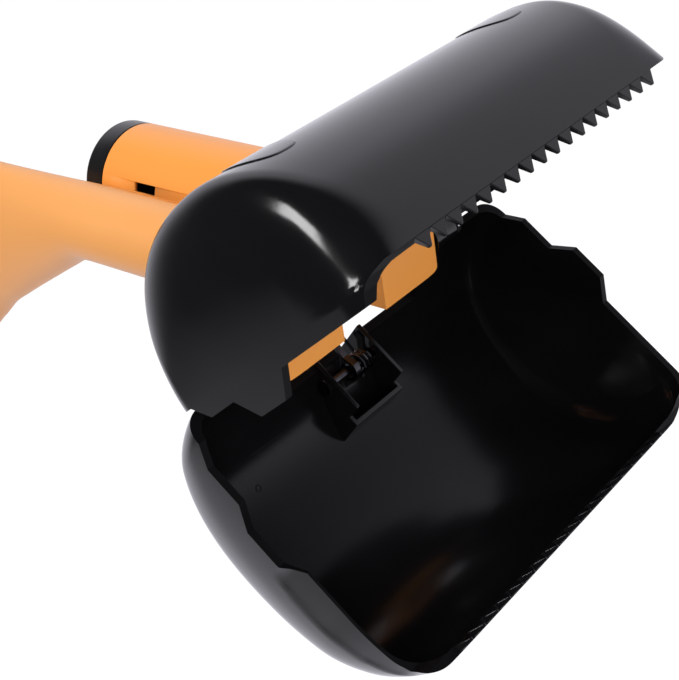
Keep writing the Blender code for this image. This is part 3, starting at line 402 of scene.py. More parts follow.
def turnedZ(name, profile, centre, material, body, sides=112):
    # a closed loop of (radius, height) turned about z through the centre; radius zero closes at the axis
    profile = np.array(profile, float)
    turn = fullTurn(sides)
    radius = np.maximum(profile[:, :1], axisRadius)
    points = np.stack([
        centre[0] + radius * np.cos(turn),
        centre[1] + radius * np.sin(turn),
        np.broadcast_to(profile[:, 1:], (len(profile), sides))], -1)
    points = np.concatenate([points, points[:1]])
    faces = [gridFaces(len(points), sides, closedAcross=True)]
    return faceOut(makePiece(name, placed(points), faces, material, body))


jaw = {
    "front": 95.6 * mm, "back": 0.8 * mm, "depth": 42.83 * mm, "halfWidth": 73.2 * mm, "wall": 2.4 * mm,
    "frontCorner": 12.1 * mm, "backCorner": 8.2 * mm, "frontHalf": 61.0 * mm, "backHalf": 65.0 * mm,
    "frontPower": 2.08, "backPower": 2.205, "cornerPower": 2.2, "barrel": (0.915, 0.830),
    "dome": (1.79, 2.47), "lean": 0.143, "leanLength": 26.0 * mm, "tuck": 0.4 * mm,
    "rows": 150, "sideColumns": 18, "domeColumns": 34, "barrelColumns": 60, "decimals": 6,
    "sideShare": 0.30, "sideLeast": 1.0 * mm, "sideMost": 0.9, "endsFrom": 0.9, "leastHeight": 1e-7,
}
jawMiddle = (jaw["front"] + jaw["back"]) / 2
jawReach = (jaw["front"] - jaw["back"]) / 2

# The rim's steps, in millimetres
rim = {
    "places": (9.0, 15.0, 27.5, 34.0, 46.5, 53.0, 89.8, 91.2, 93.0, 95.0),
    "low": 5.0, "high": 12.0, "gap": 0.8, "frontRise": 1.3, "frontShares": (0, 0.45, 0.80, 1),
}

# The flat let into the outside of each jaw's low side, its places and edge in millimetres
flank = {
    "places": (44, 47, 50, 54, 66, 72.5, 79, 84, 93),
    "edge": (12, 17, 18.6, 19.4, 19.5, 17.2, 15.6, 12.7, 8.4),
    "low": 5.6, "depth": 1.5 * mm, "fadePlaces": (46, 49, 88, 93), "fade": (0, 1, 1, 0), "curve": 0.6,
}


def jawHalfWidth(along):
    # the rim's half width, drawn in at both rounded ends by a quarter of a rounded square
    span, power = jaw["halfWidth"], jaw["cornerPower"]
    front = np.clip((along - jaw["front"] + jaw["frontCorner"]) / jaw["frontCorner"], 0, 1)
    back = np.clip((jaw["back"] + jaw["backCorner"] - along) / jaw["backCorner"], 0, 1)
    frontDrop = 1 - (1 - front ** power) ** (1 / power)
    backDrop = 1 - (1 - back ** power) ** (1 / power)
    return span - (span - jaw["frontHalf"]) * frontDrop - (span - jaw["backHalf"]) * backDrop


def jawRim(along, side):
    # the stepped rim's height at each distance from the hinge, lower on one side and higher on the other
    low = -rim["low"] if side > 0 else rim["low"] + rim["gap"]
    high = -rim["high"] if side > 0 else rim["high"] + rim["gap"]
    front = low + (rim["frontRise"] - low) * np.array(rim["frontShares"])
    heights = np.array([0, low, low, high, high, low, *front])
    return np.interp(along, np.array(rim["places"]) * mm, heights * mm)


def jawRoof(along, inset):
    # the height of the oval arch from front to back: (run ** p + (y / depth) ** p = 1)
    run = np.abs((along - jawMiddle) / (jawReach - inset))
    power = np.where(along > jawMiddle, jaw["frontPower"], jaw["backPower"])
    return (jaw["depth"] - inset) * (1 - run ** power) ** (1 / power)


def flankCut(along, y):
    # how far the flat is let in: most at the rim, none along its curved upper edge
    edge = np.interp(along / mm, flank["places"], flank["edge"])
    ends = np.interp(along / mm, flank["fadePlaces"], flank["fade"])
    share = np.clip((edge - y / mm) / (edge - flank["low"]), 0, 1)
    return flank["depth"] * ends * share ** flank["curve"]


def jawSurface(along, inset):
    # a barrel under an uneven oval arch from front to back, with a dome at each end of it:
    # past the barrel's share of the width, end ** p + (y / height) ** p = 1, down to the stepped rim
    run = np.clip((along - jawMiddle) / (jawReach - inset), -1, 1)
    power = np.where(run > 0, jaw["frontPower"], jaw["backPower"])
    rise = np.sqrt(np.maximum(1 - np.abs(run) ** power, 0)) ** (2 / power)
    depth = jaw["depth"] - inset
    edge = np.minimum(np.abs(jawRim(along, -1)), np.abs(jawRim(along, 1))) + jaw["tuck"]
    height = np.maximum(depth * rise, np.where(np.abs(run) > jaw["endsFrom"], edge, 0))[:, None]
    base = jawMiddle + run * jawReach
    width = (jawHalfWidth(base) - inset)[:, None]
    front = eased(base / jaw["front"])
    barrel, power = (
        (ends[0] + (ends[1] - ends[0]) * front)[:, None] for ends in (jaw["barrel"], jaw["dome"]))
    lean = jaw["lean"] * np.clip((base - jaw["front"] + jaw["leanLength"]) / jaw["leanLength"], 0, 1) ** 2
    safe = np.maximum(height, jaw["leastHeight"])

    def across(share, y):
        # the side draws in as it rises, near the front only
        return width * share * (1 - lean[:, None] * np.sqrt(np.maximum(y, 0) / depth))

    halves = []
    for side in (-1, 1):
        low = jawRim(along, side)[:, None] + jaw["tuck"]
        top = np.maximum(jaw["sideShare"] * height, low + jaw["sideLeast"])
        top = np.maximum(np.minimum(top, jaw["sideMost"] * height), low)
        y = low + (top - low) * np.linspace(0, 1, jaw["sideColumns"])
        end = (1 - np.clip(y / safe, 0, 1) ** power) ** (1 / power)
        first = np.arcsin((1 - np.clip(top / safe, 0, 1) ** power) ** 0.5)
        turn = first * np.linspace(1, 0, jaw["domeColumns"])
        domeEnd = np.sin(turn) ** (2 / power)
        domeY = height * np.cos(turn) ** (2 / power)
        x = np.concatenate([
            across(side * (barrel + (1 - barrel) * end), y),
            across(side * (barrel + (1 - barrel) * domeEnd), domeY)[:, 1:]], 1)
        y = np.concatenate([y, domeY[:, 1:]], 1)
        if side < 0 and inset == 0:
            x = x + flankCut(along[:, None], y)
        halves.append((x, y))
    flat = barrel * np.linspace(-1, 1, jaw["barrelColumns"])[1:-1]
    roof = np.broadcast_to(height, flat.shape)
    x = np.concatenate([halves[0][0], across(flat, roof), halves[1][0][:, ::-1]], 1)
    y = np.concatenate([halves[0][1], roof, halves[1][1][:, ::-1]], 1)
    z = np.broadcast_to(-along[:, None], x.shape)
    return np.stack([x, y - jaw["tuck"], z], -1)


def jawShell(name, upper, body):
    # the outer and inner surfaces, joined along the rim
    turn = np.linspace(0, math.pi, jaw["rows"])
    power = np.where(np.cos(turn) > 0, jaw["frontPower"], jaw["backPower"])
    along = jawMiddle + jawReach * signedPower(np.cos(turn), 2 / power)
    places = np.array(rim["places"]) * mm
    along = np.unique(np.round(np.concatenate([along, places]), jaw["decimals"]))[::-1]
    wall = jaw["wall"]
    inside = np.interp(
        along, [jaw["back"], places[0], places[-1], jaw["front"]],
        [jaw["back"] + wall, places[0], places[-1], jaw["front"] - wall])
    outer, inner = jawSurface(along, 0.0), jawSurface(inside, wall)
    rows, columns = outer.shape[:2]
    count = rows * columns
    index = np.arange(count).reshape(rows, columns)
    edge = np.concatenate([index[0, :], index[1:, -1], index[-1, -2::-1], index[-2:0:-1, 0]])
    following = np.roll(edge, -1)
    # the rim's strip takes the nearly matte copy, as painted shade
    strip = np.stack([edge, following, following + count, edge + count], -1)
    points = np.concatenate([outer.reshape(-1, 3), inner.reshape(-1, 3)])
    # the inner surface takes the less shiny copy of the plastic, as painted shade
    faces = [gridFaces(rows, columns), gridFaces(rows, columns, count, flipped=True), strip]
    shell = makePiece(name, jawPlaced(points, upper), faces, jawBlack, body, others=(jawShadedInside, jawShadedEdges))
    return faceOut(shell)


def shadedCut(cutter):
    # the faces that this cutter leaves take the shell's third material, the nearly matte copy that paints
    # them dark as painted shade
    for finish in (jawShadedInside, jawShadedEdges):
        cutter.data.materials.append(finish)
    cutter.data.polygons.foreach_set("material_index", np.full(len(cutter.data.polygons), 2, np.int32))
    return cutter


teeth = {
    "count": 18, "pitch": 6.07 * mm, "depth": 3.9 * mm, "shift": 0.25, "gullet": 0.03, "root": 0.5 * mm,
    "tip": 0.6 * mm, "tipAngle": 54, "tipSteps": 7, "thinned": 1.1 * mm, "insideGap": 0.05 * mm,
    "frontGap": 0.3 * mm, "soft": 0.22 * mm,
}


def jawTeeth(name, upper, body):
    # pointed teeth in one strip: a zigzag with round tips, thinned towards the tips on the inside
    pitch, deep, tip = teeth["pitch"], teeth["depth"], teeth["tip"]
    span = pitch * teeth["count"]
    start = -pitch * teeth["shift"] - span / 2
    turn = np.radians(np.linspace(-teeth["tipAngle"], teeth["tipAngle"], teeth["tipSteps"]))
    one = np.concatenate([
        [(teeth["gullet"] * pitch, 0)],
        np.stack([pitch / 2 + tip * np.sin(turn), tip - deep - tip * np.cos(turn)], -1),
        [((1 - teeth["gullet"]) * pitch, 0)]])
    moves = np.stack([start + np.arange(teeth["count"]) * pitch, np.zeros(teeth["count"])], -1)
    line = (one[None] + moves[:, None]).reshape(-1, 2)
    line = np.concatenate([line, [(start + span, teeth["root"]), (start, teeth["root"])]])
    count = len(line)
    inner = jaw["front"] - jaw["wall"] + teeth["insideGap"] - teeth["thinned"] * line[:, 1] / deep
    outer = np.full(count, jaw["front"] - teeth["frontGap"])
    height = line[:, 1] + rim["frontRise"] * mm
    rings = [np.stack([line[:, 0], height, -along], -1) for along in (inner, outer)]
    faces = [gridFaces(2, count, closedAcross=True), endCaps(2, count)]
    strip = makePiece(name, jawPlaced(np.stack(rings), upper), faces, jawBlack, body)
    return soften(faceOut(strip), teeth["soft"])


pads = {
    "places": (-49.5 * mm, 49.5 * mm), "along": 63.5 * mm, "half": (8.0 * mm, 11.0 * mm), "rise": 0.35 * mm,
    "power": 0.8, "edgeShare": 0.93, "topRings": 12, "nextShare": 0.94, "edgeRings": 7, "sides": 96,
    "sunk": 0.9 * mm, "underside": 1.4 * mm, "smoothAngle": 50,
}


def jawPads(name, upper, body):
    # low oval pads on the roof: a rounded square in plan that follows the roof and drops at its edge
    share = np.concatenate([
        np.linspace(0, pads["edgeShare"], pads["topRings"]),
        np.linspace(pads["nextShare"], 1, pads["edgeRings"])])[:, None]
    turn = fullTurn(pads["sides"])
    drop = np.clip((share - pads["edgeShare"]) / (1 - pads["edgeShare"]), 0, 1) ** 2
    along = pads["along"] + pads["half"][1] * share * signedPower(np.sin(turn), pads["power"])
    roof = jawRoof(along, 0.0)
    top = roof + pads["rise"] - (pads["rise"] + pads["sunk"]) * drop - jaw["tuck"]
    for number, place in enumerate(pads["places"]):
        x = place + pads["half"][0] * share * signedPower(np.cos(turn), pads["power"])
        points = np.concatenate([
            np.stack([x, top, -along], -1), np.stack([x, roof - pads["underside"], -along], -1)[::-1]])
        faces = [gridFaces(len(points), pads["sides"], closedAcross=True)]
        points = jawPlaced(points, upper)
        faceOut(makePiece(f"{name}_{number}", points, faces, jawBlack, body, pads["smoothAngle"]))


# Rings at (x, along) and lines from (x, along) to (x, along), in millimetres
marks = {
    "rings": ((-47.3, 23.6), (36.4, 30.9), (-18.2, 64.7)), "ringRadius": 0.9 * mm, "ringSteps": 41,
    "lines": ((-45.3, 15.4, -31.0, 16.0), (37.7, 19.1, 39.1, 25.4)), "lineSteps": 25,
    "width": 0.16 * mm, "sides": 8, "smoothAngle": 60,
}


def jawMarks(name, upper, body):
    # the mould's marks on the inner roof: rings and lines, as a thin wire half sunk in it
    turn = np.linspace(0, 2 * math.pi, marks["ringSteps"])
    share = np.linspace(0, 1, marks["lineSteps"])
    radius, sides = marks["ringRadius"], marks["sides"]
    paths = [(x * mm + radius * np.cos(turn), along * mm + radius * np.sin(turn))
             for x, along in marks["rings"]]
    paths += [((x + (endX - x) * share) * mm, (along + (end - along) * share) * mm)
              for x, along, endX, end in marks["lines"]]
    around = fullTurn(sides)[None, :, None]
    for number, (x, along) in enumerate(paths):
        line = np.stack([x, jawRoof(along, jaw["wall"]) - jaw["tuck"], -along], -1)
        way = np.gradient(line, axis=0)
        sideways = np.cross(way, (0, 1, 0))
        sideways /= np.linalg.norm(sideways, axis=1)[:, None]
        upwards = np.cross(sideways, way)
        upwards /= np.linalg.norm(upwards, axis=1)[:, None]
        wire = line[:, None] + marks["width"] * (
            np.cos(around) * sideways[:, None] + np.sin(around) * upwards[:, None])
        faces = [gridFaces(len(line), sides, closedAcross=True)]
        if number >= len(marks["rings"]):
            faces.append(endCaps(len(line), sides))
        wire = jawPlaced(wire, upper)
        faceOut(makePiece(f"{name}_{number}", wire, faces, jawShadedInside, body, marks["smoothAngle"]))


tray = {
    "half": 10.2 * mm, "wall": 1.7 * mm, "back": 5.0 * mm, "front": 27.2 * mm, "edge": 20.5 * mm,
    "frontEdge": 26.5 * mm, "roof": 41.2 * mm, "soft": 0.35 * mm,
    "past": 4 * mm, "roomRoof": 60 * mm, "cutHalf": 20 * mm, "cutFront": 40 * mm,
    "pinMiddle": (25.0 * mm, -13.8 * mm), "holeRadius": 1.75 * mm,
    "bossRadius": 3.3 * mm, "bossOut": 0.9 * mm, "bossIn": 0.3 * mm, "bossSides": 64, "bossSoft": 0.2 * mm,
    "dishRadius": 2.45 * mm, "dishOut": 2 * mm, "dishIn": 1 * mm,
}


def jawTray(name, place, body):
    # the open-backed tray inside the jaw where the link is pinned
    half, wall, front, edge = tray["half"], tray["wall"], tray["front"], tray["edge"]
    low, high = (-half - wall, edge, -front - wall), (half + wall, tray["roof"], -tray["back"])
    made = block(name, low, high, place, jawBlack, body)
    low, high = (-half, edge - tray["past"], -front), (half, tray["roomRoof"], tray["past"])
    room = block("trayRoom", low, high, place)
    low = (-tray["cutHalf"], edge - tray["past"], -tray["cutFront"])
    trim = block("trayTrim", low, (tray["cutHalf"], tray["frontEdge"], -front + wall), place)
    hole = rodX("trayHole", tray["holeRadius"], -tray["cutHalf"], tray["cutHalf"], tray["pinMiddle"], place)
    carve(made, [room, trim, hole])
    soften(made, tray["soft"])


def jawBoss(name, place, body):
    # a boss round the pin's far end, on the tray's outside, with a shallow dish for the pin's tip
    side, middle = -tray["half"] - tray["wall"], tray["pinMiddle"]
    start, end = side - tray["bossOut"], side + tray["bossIn"]
    boss = rodX(name, tray["bossRadius"], start, end, middle, place, jawBlack, body, tray["bossSides"])
    start, end = side - tray["dishOut"], side + tray["dishIn"]
    carve(boss, [rodX("bossDish", tray["dishRadius"], start, end, middle, place)])
    soften(boss, tray["bossSoft"])


eyes = {
    "first": 37.8 * mm, "width": 4.8 * mm, "gap": 0.6 * mm, "radius": 5.8 * mm, "boreRadius": 2.75 * mm,
    "webLow": 3.8 * mm, "webHigh": 10.0 * mm, "webHalf": 3.4 * mm, "past": 2 * mm, "soft": 0.3 * mm,
    "sides": 72,
}
eyes["second"] = eyes["first"] + eyes["width"] + eyes["gap"]


def jawEyes(name, place, body):
    # two hinge eyes with a web each, bored for the pin
    first, second, width, past = eyes["first"], eyes["second"], eyes["width"], eyes["past"]
    radius, sides = eyes["radius"], eyes["sides"]
    for number, (start, end) in enumerate(((first, first + width), (-second - width, -second))):
        eye = rodX(f"{name}_{number}", radius, start, end, (0, 0), place, jawBlack, body, sides)
        low, high = (start, eyes["webLow"], -eyes["webHalf"]), (end, eyes["webHigh"], eyes["webHalf"])
        carve(eye, [block("web", low, high, place)], "UNION")
        carve(eye, [rodX("eyeHole", eyes["boreRadius"], start - past, end + past, (0, 0), place)])
        soften(eye, eyes["soft"])


opening = {
    "headLow": (-37.6 * mm, -9.8 * mm, -10.0 * mm), "headHigh": (37.6 * mm, 21.6 * mm, 9.8 * mm),
    "windowLow": (-2.0 * mm, 17.6 * mm, -17.8 * mm), "windowHigh": (9.6 * mm, 30.5 * mm, 9.8 * mm),
    "eyeRadius": 6.6 * mm, "pinRadius": 5.6 * mm, "pinEnd": 54.5 * mm, "soft": 0.35 * mm, "softAngle": 50,
}


def jawOpenings(place):
    # room for the head and its link, for the other jaw's eyes and for the ends of the pins
    first, second, width, half = eyes["first"], eyes["second"], eyes["width"], eyes["gap"] / 2
    cutters = [
        shadedCut(block("headRoom", opening["headLow"], opening["headHigh"], place)),
        shadedCut(block("window", opening["windowLow"], opening["windowHigh"], place)),
    ]
    for start, end in ((-first - width - half, -first + half), (second - half, second + width + half)):
        cutters.append(rodX("eyeRoom", opening["eyeRadius"], start, end, (0, 0), place, sides=eyes["sides"]))
    last, edge = opening["pinEnd"], second + width + half
    for start, end in ((edge, last), (-last, -edge)):
        cutters.append(rodX("pinEndRoom", opening["pinRadius"], start, end, (0, 0), place))
    return cutters


def buildJaw(side):
    upper = side == "upper"
    body = side + "_jaw"
    place = partial(jawPlaced, upper=upper)
    shell = jawShell(f"{side}_shell", upper, body)
    carve(shell, jawOpenings(place))
    soften(shell, opening["soft"], angle=opening["softAngle"])
    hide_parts(side + "_jaw")
    jawTeeth(f"{side}_teeth", upper, body)
    jawPads(f"{side}_pad", upper, body)
    jawMarks(f"{side}_mark", upper, body)
    jawTray(f"{side}_tray", place, body)
    jawBoss(f"{side}_tray_boss", place, body)
    jawEyes(f"{side}_eye", place, body)
    print(side, "jaw built")


buildJaw("lower")
buildJaw("upper")


# Heights, fronts and the slot's outline are in millimetres
handle = {
    "radius": 13.45 * mm, "sideSwell": 1.8 * mm, "backSwell": 2.0 * mm,
    "swellStart": 158 * mm, "swellEnd": 263 * mm,
    "bottom": 41.0 * mm, "top": 340.0 * mm, "rows": 300, "columns": 128,
    "lipLow": 218 * mm, "lipHigh": 240 * mm, "lipRows": 70,
    "heights": (
        41, 110, 118, 125, 134, 141, 148.2, 158, 167.8, 181, 194.6,
        206, 216, 222, 224.5, 226.2, 229, 233, 240, 248, 260, 340),
    "fronts": (
        13.45, 13.45, 13.8, 16.2, 21.2, 25.2, 29.4, 35.1, 41.0, 49.2, 60.5,
        68.8, 70.5, 69.0, 62.0, 50.0, 36.0, 25.0, 17.5, 13.8, 13.45, 13.45),
    "slot": ((-8.5, 176), (40, 176), (59.2, 204), (59.2, 245), (-8.5, 245)), "slotHalf": 7.0 * mm,
    "boreRadius": 6.6 * mm, "boreLow": 37 * mm, "boreHigh": 180 * mm,
    "pivotRadius": 2.25 * mm, "pivotHalf": 20 * mm, "pivotMiddle": (50 * mm, 204 * mm),
    "screwRadius": 1.9 * mm, "screwFrom": 9 * mm, "screwTo": 15.4 * mm, "screwMiddle": (0, 45.5 * mm),
}


def smoothLine(where, places, values):
    # a curve through the points: its slope at each is the harmonic mean of those beside it, or 0 at a peak
    places, values = np.array(places, float), np.array(values, float)
    steps = np.diff(places)
    slopes = np.diff(values) / steps
    same = slopes[:-1] * slopes[1:] > 0
    inner = np.where(same, 2 * slopes[:-1] * slopes[1:] / np.where(same, slopes[:-1] + slopes[1:], 1), 0)
    ends = np.concatenate([[slopes[0]], inner, [slopes[-1]]])
    spot = np.clip(np.searchsorted(places, where) - 1, 0, len(steps) - 1)
    share = (where - places[spot]) / steps[spot]
    square, cube = share ** 2, share ** 3
    return ((2 * cube - 3 * square + 1) * values[spot]
            + (cube - 2 * square + share) * steps[spot] * ends[spot]
            + (3 * square - 2 * cube) * values[spot + 1]
            + (cube - square) * steps[spot] * ends[spot + 1])


def handleSection(height, grown=0.0):
    # an oval at each height whose front reaches out along the flare
    front = smoothLine(height / mm, handle["heights"], handle["fronts"]) * mm + grown
    ease = eased((height - handle["swellStart"]) / (handle["swellEnd"] - handle["swellStart"]))
    halfX = (handle["radius"] + handle["sideSwell"] * ease + grown)[:, None]
    back = handle["radius"] + handle["backSwell"] * ease + grown
    turn = fullTurn(handle["columns"])
    middle = ((front - back) / 2)[:, None]
    halfY = ((front + back) / 2)[:, None]
    x, y = halfX * np.cos(turn), middle + halfY * np.sin(turn)
    return np.stack([x, y, np.broadcast_to(height[:, None], x.shape)], -1)


def handleCutters():
    # the trigger's slot, the rod's bore, the trigger pin's hole and the two screw holes
    outline = np.array(handle["slot"]) * mm
    count, half = len(outline), handle["slotHalf"]
    sides = np.stack([np.concatenate([np.full((count, 1), x), outline], 1) for x in (-half, half)])
    faces = [gridFaces(2, count, closedAcross=True), endCaps(2, count)]
    slot = faceOut(makePiece("slotCutter", placed(sides), faces, handleOrange, None))
    radius, low, high = handle["boreRadius"], handle["boreLow"], handle["boreHigh"]
    profile = [(0, low), (radius, low), (radius, high), (0, high)]
    bore = turnedZ("boreCutter", profile, (0, 0), handleOrange, None)
    reach = handle["pivotHalf"]
    pivot = rodX("pivotCutter", handle["pivotRadius"], -reach, reach, handle["pivotMiddle"], placed)
    screws = [
        rodX("screwCutter", handle["screwRadius"], side * handle["screwFrom"], side * handle["screwTo"],
             handle["screwMiddle"], placed) for side in (-1, 1)]
    return [slot, bore, pivot, *screws]


def buildHandle():
    height = np.unique(np.concatenate([
        np.linspace(handle["bottom"], handle["top"], handle["rows"]),
        np.linspace(handle["lipLow"], handle["lipHigh"], handle["lipRows"])]))
    rows, columns = len(height), handle["columns"]
    faces = [gridFaces(rows, columns, closedAcross=True), endCaps(rows, columns)]
    piece = makePiece("handle_body", placed(handleSection(height)), faces, handleOrange, "frame")
    carve(faceOut(piece), handleCutters())
    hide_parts("handle")
    print("handle built")


sleeve = {
    "low": 263.0 * mm, "high": 328.0 * mm, "rows": 170, "gap": 0.3 * mm, "thickness": 1.6 * mm,
    "ribs": 11, "ribHeight": 0.7 * mm, "ribPower": 0.8, "endShare": 0.018, "endPower": 0.5,
}


def buildSleeve():
    # a tube over the grip with rounded ribs: the section grown by a wave along the height
    height = np.linspace(sleeve["low"], sleeve["high"], sleeve["rows"])
    share = (height - sleeve["low"]) / (sleeve["high"] - sleeve["low"])
    wave = sleeve["ribHeight"] * np.abs(np.sin(math.pi * sleeve["ribs"] * share)) ** sleeve["ribPower"]
    ends = np.minimum(1, np.minimum(share, 1 - share) / sleeve["endShare"]) ** sleeve["endPower"]
    outer = handleSection(height, sleeve["gap"] + (sleeve["thickness"] + wave) * ends)
    inner = handleSection(height, np.full_like(height, sleeve["gap"]))
    points = np.concatenate([outer, inner[::-1], outer[:1]])
    faces = [gridFaces(len(points), handle["columns"], closedAcross=True)]
    piece = makePiece("sleeve_body", placed(points), faces, gripRubber, "frame")
    faceOut(piece)
    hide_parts("grip_sleeve")
    print("sleeve built")


buildHandle()
buildSleeve()


dispenser = {
    "centre": (35.0 * mm, 0.0), "radius": 20.0 * mm, "wall": 1.6 * mm, "bottom": 54.0 * mm, "top": 129.1 * mm,
    "sides": 144, "edge": 0.25 * mm,
    "slotAngle": math.radians(202), "slotLow": 101.0 * mm, "slotHigh": 111.8 * mm,
    "slotHalf": 1.7 * mm, "slotPast": 4 * mm,
    "capSeat": 0.3 * mm, "capHeight": 8.8 * mm, "capGap": 0.4 * mm, "skirt": 7.5 * mm, "capEdge": 0.3 * mm,
    "crown": 1.2 * mm, "crownSteps": 7, "dishFrom": 3.4 * mm, "dishTo": 3.9 * mm, "dishDepth": 0.5 * mm,
}


def buildTube():
    inner, outer = dispenser["radius"] - dispenser["wall"], dispenser["radius"]
    low, high, edge = dispenser["bottom"], dispenser["top"], dispenser["edge"]
    profile = [
        (inner, low), (outer - edge, low), (outer, low + edge),
        (outer, high - edge), (outer - edge, high), (inner, high)]
    tube = turnedZ("tube_body", profile, dispenser["centre"], tubeOrange, "frame", dispenser["sides"])
    c, s = math.cos(dispenser["slotAngle"]), math.sin(dispenser["slotAngle"])

    def turnedPlace(points):
        x, y, z = points[..., 0], points[..., 1], points[..., 2]
        return placed(np.stack([dispenser["centre"][0] + x * c - y * s, x * s + y * c, z], -1))

    half, past = dispenser["slotHalf"], dispenser["slotPast"]
    start, end = (inner - past, -half, dispenser["slotLow"]), (outer + past, half, dispenser["slotHigh"])
    carve(tube, [block("tubeSlot", start, end, turnedPlace)])
    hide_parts("dispenser_tube")


def buildTubeCap():
    # a skirt inside the tube, a seat on its end, a rounded crown and a shallow dish on top
    inner = dispenser["radius"] - dispenser["wall"] - dispenser["capGap"]
    outer, low = dispenser["radius"], dispenser["top"] + dispenser["capSeat"]
    high, crown, wall = low + dispenser["capHeight"], dispenser["crown"], dispenser["wall"]
    skirt, edge, dish = low - dispenser["skirt"], dispenser["capEdge"], high - dispenser["dishDepth"]
    arc = np.linspace(0, math.pi / 2, dispenser["crownSteps"])
    top = np.stack([outer - crown + crown * np.cos(arc), high - crown + crown * np.sin(arc)], -1)
    profile = np.concatenate([
        [(0, low), (inner - wall, low), (inner - wall, skirt), (inner, skirt), (inner, low)],
        [(outer - edge, low), (outer, low + edge)], top,
        [(outer - dispenser["dishFrom"], high), (outer - dispenser["dishTo"], dish), (0, dish)]])
    cap = turnedZ("tube_cap", profile, dispenser["centre"], capBlack, "dispenser_cap", dispenser["sides"])
    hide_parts("dispenser_cap")


buildTube()
buildTubeCap()
print("dispenser built")


kept = {
    "head_yoke": headOrange, "dispenser_clamp": tubeOrange, "dispenser_plug": capBlack,
    "handle_end_cap": capBlack, "rod_guide_bush": capBlack, "crosshead": capBlack, "rod_clevis": capBlack,
    "trigger": triggerBlack, "lower_link": darkSteel, "upper_link": darkSteel,
    "lower_link_pin": darkSteel, "upper_link_pin": darkSteel,
    "lower_jaw_link_pin": darkSteel, "upper_jaw_link_pin": darkSteel,
    "lower_jaw_spring": darkSteel, "upper_jaw_spring": darkSteel,
    "hinge_pin_left": brightSteel, "hinge_pin_right": brightSteel,
    "socket_screw_left": brightSteel, "socket_screw_right": brightSteel, "push_rod": brightSteel,
    "trigger_pin": brightSteel, "clevis_pin": brightSteel, "clamp_screw": brightSteel,
}
keptAngle = math.radians(35)
for name, material in kept.items():
    mesh = nodes[name].data
    mesh.materials.clear()
    mesh.materials.append(material)
    mesh.shade_smooth()
    mesh.set_sharp_from_angle(angle=keptAngle)
print("kept pieces finished")


returnSpring = {
    "radius": 4.2 * mm, "wire": 0.38 * mm, "curls": 9, "endRise": 1.1 * mm, "sides": 12, "stepsPerCurl": 48,
    "smoothAngle": 50,
}


def buildReturnSpring():
    # a round wire wound about the rod, its end curls closed up
    low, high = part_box("return_spring")
    wire, curls, rise = returnSpring["wire"], returnSpring["curls"], returnSpring["endRise"]
    bottom, top = low.y + wire, high.y - wire
    turn = np.linspace(0, curls, curls * returnSpring["stepsPerCurl"] + 1)[:, None]
    height = np.interp(turn, (0, 1, curls - 1, curls), (bottom, bottom + rise, top - rise, top))
    angle = 2 * math.pi * turn
    around = fullTurn(returnSpring["sides"])[None, :]
    reach = returnSpring["radius"] + wire * np.cos(around)
    y = height + wire * np.sin(around)
    rings = np.stack([reach * np.cos(angle), y, hingeZ + reach * np.sin(angle)], -1)
    rows, columns = rings.shape[:2]
    faces = [gridFaces(rows, columns, closedAcross=True), endCaps(rows, columns)]
    spring = makePiece("return_coil", rings, faces, brightSteel, "frame", returnSpring["smoothAngle"])
    faceOut(spring)
    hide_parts("return_spring")
    slide = next(joint for joint in frame["record"]["behaviour"]["joints"] if joint["name"] == "rod_slide")
    1 + slide["range_m"][0] / (high.y - low.y)
    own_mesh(spring)


buildReturnSpring()
print("return spring built")


ground = {
    "height": -0.60, "half": 6.0, "pale": (0.80, 0.80, 0.80), "paler": (0.84, 0.84, 0.84), "tone": (3, 2),
    "roughness": 0.8, "white": 1.08, "whiteShare": 0.9,
}


def plainWhite(name):
    # mostly a plain white to the camera, which leaves the shadow to show, and a pale surface to the rest
    sheet = Sheet(bpy.data.materials.new(name))
    sheet.surface(
        Base_Color=sheet.blend(sheet.noise(*ground["tone"]), ground["pale"], ground["paler"]),
        Roughness=ground["roughness"])
    light = sheet.node("ShaderNodeEmission", {}, {"Color": (1, 1, 1, 1), "Strength": ground["white"]})
    seen = sheet.ray("Is Camera Ray", "Is Glossy Ray", "Is Transmission Ray") * ground["whiteShare"]
    plain = Value(sheet, sheet.shader.outputs[0])
    mixed = sheet.node("ShaderNodeMixShader", {}, {0: seen, 1: plain, 2: light})
    sheet.feed(sheet.tree.nodes["Material Output"].inputs["Surface"], mixed)
    return sheet.owner


def buildFloor():
    half = ground["half"]
    corners = np.array([(-half, -half, 0), (half, -half, 0), (half, half, 0), (-half, half, 0)])
    corners = corners + (0, 0, ground["height"])
    floor = makePiece("floor", corners, [np.array([(0, 1, 2, 3)])], plainWhite("floor_white"), None)
    floor.visible_glossy = False


sky = {
    "seen": 1.06, "fill": 0.42, "tint": (0.965, 0.950, 1.040),
    "whiteWay": (0.908, 0.330, -0.259), "whiteFrom": -0.05, "whiteTo": 0.34, "dim": 0.05, "white": 1.1,
    "hideWay": (0.542, -0.454, 0.707), "hideFrom": 0.60, "hideTo": 0.88, "hide": 0.70,
    "upWay": (0, 0, 1), "groundFrom": -0.38, "groundTo": -0.80,
}


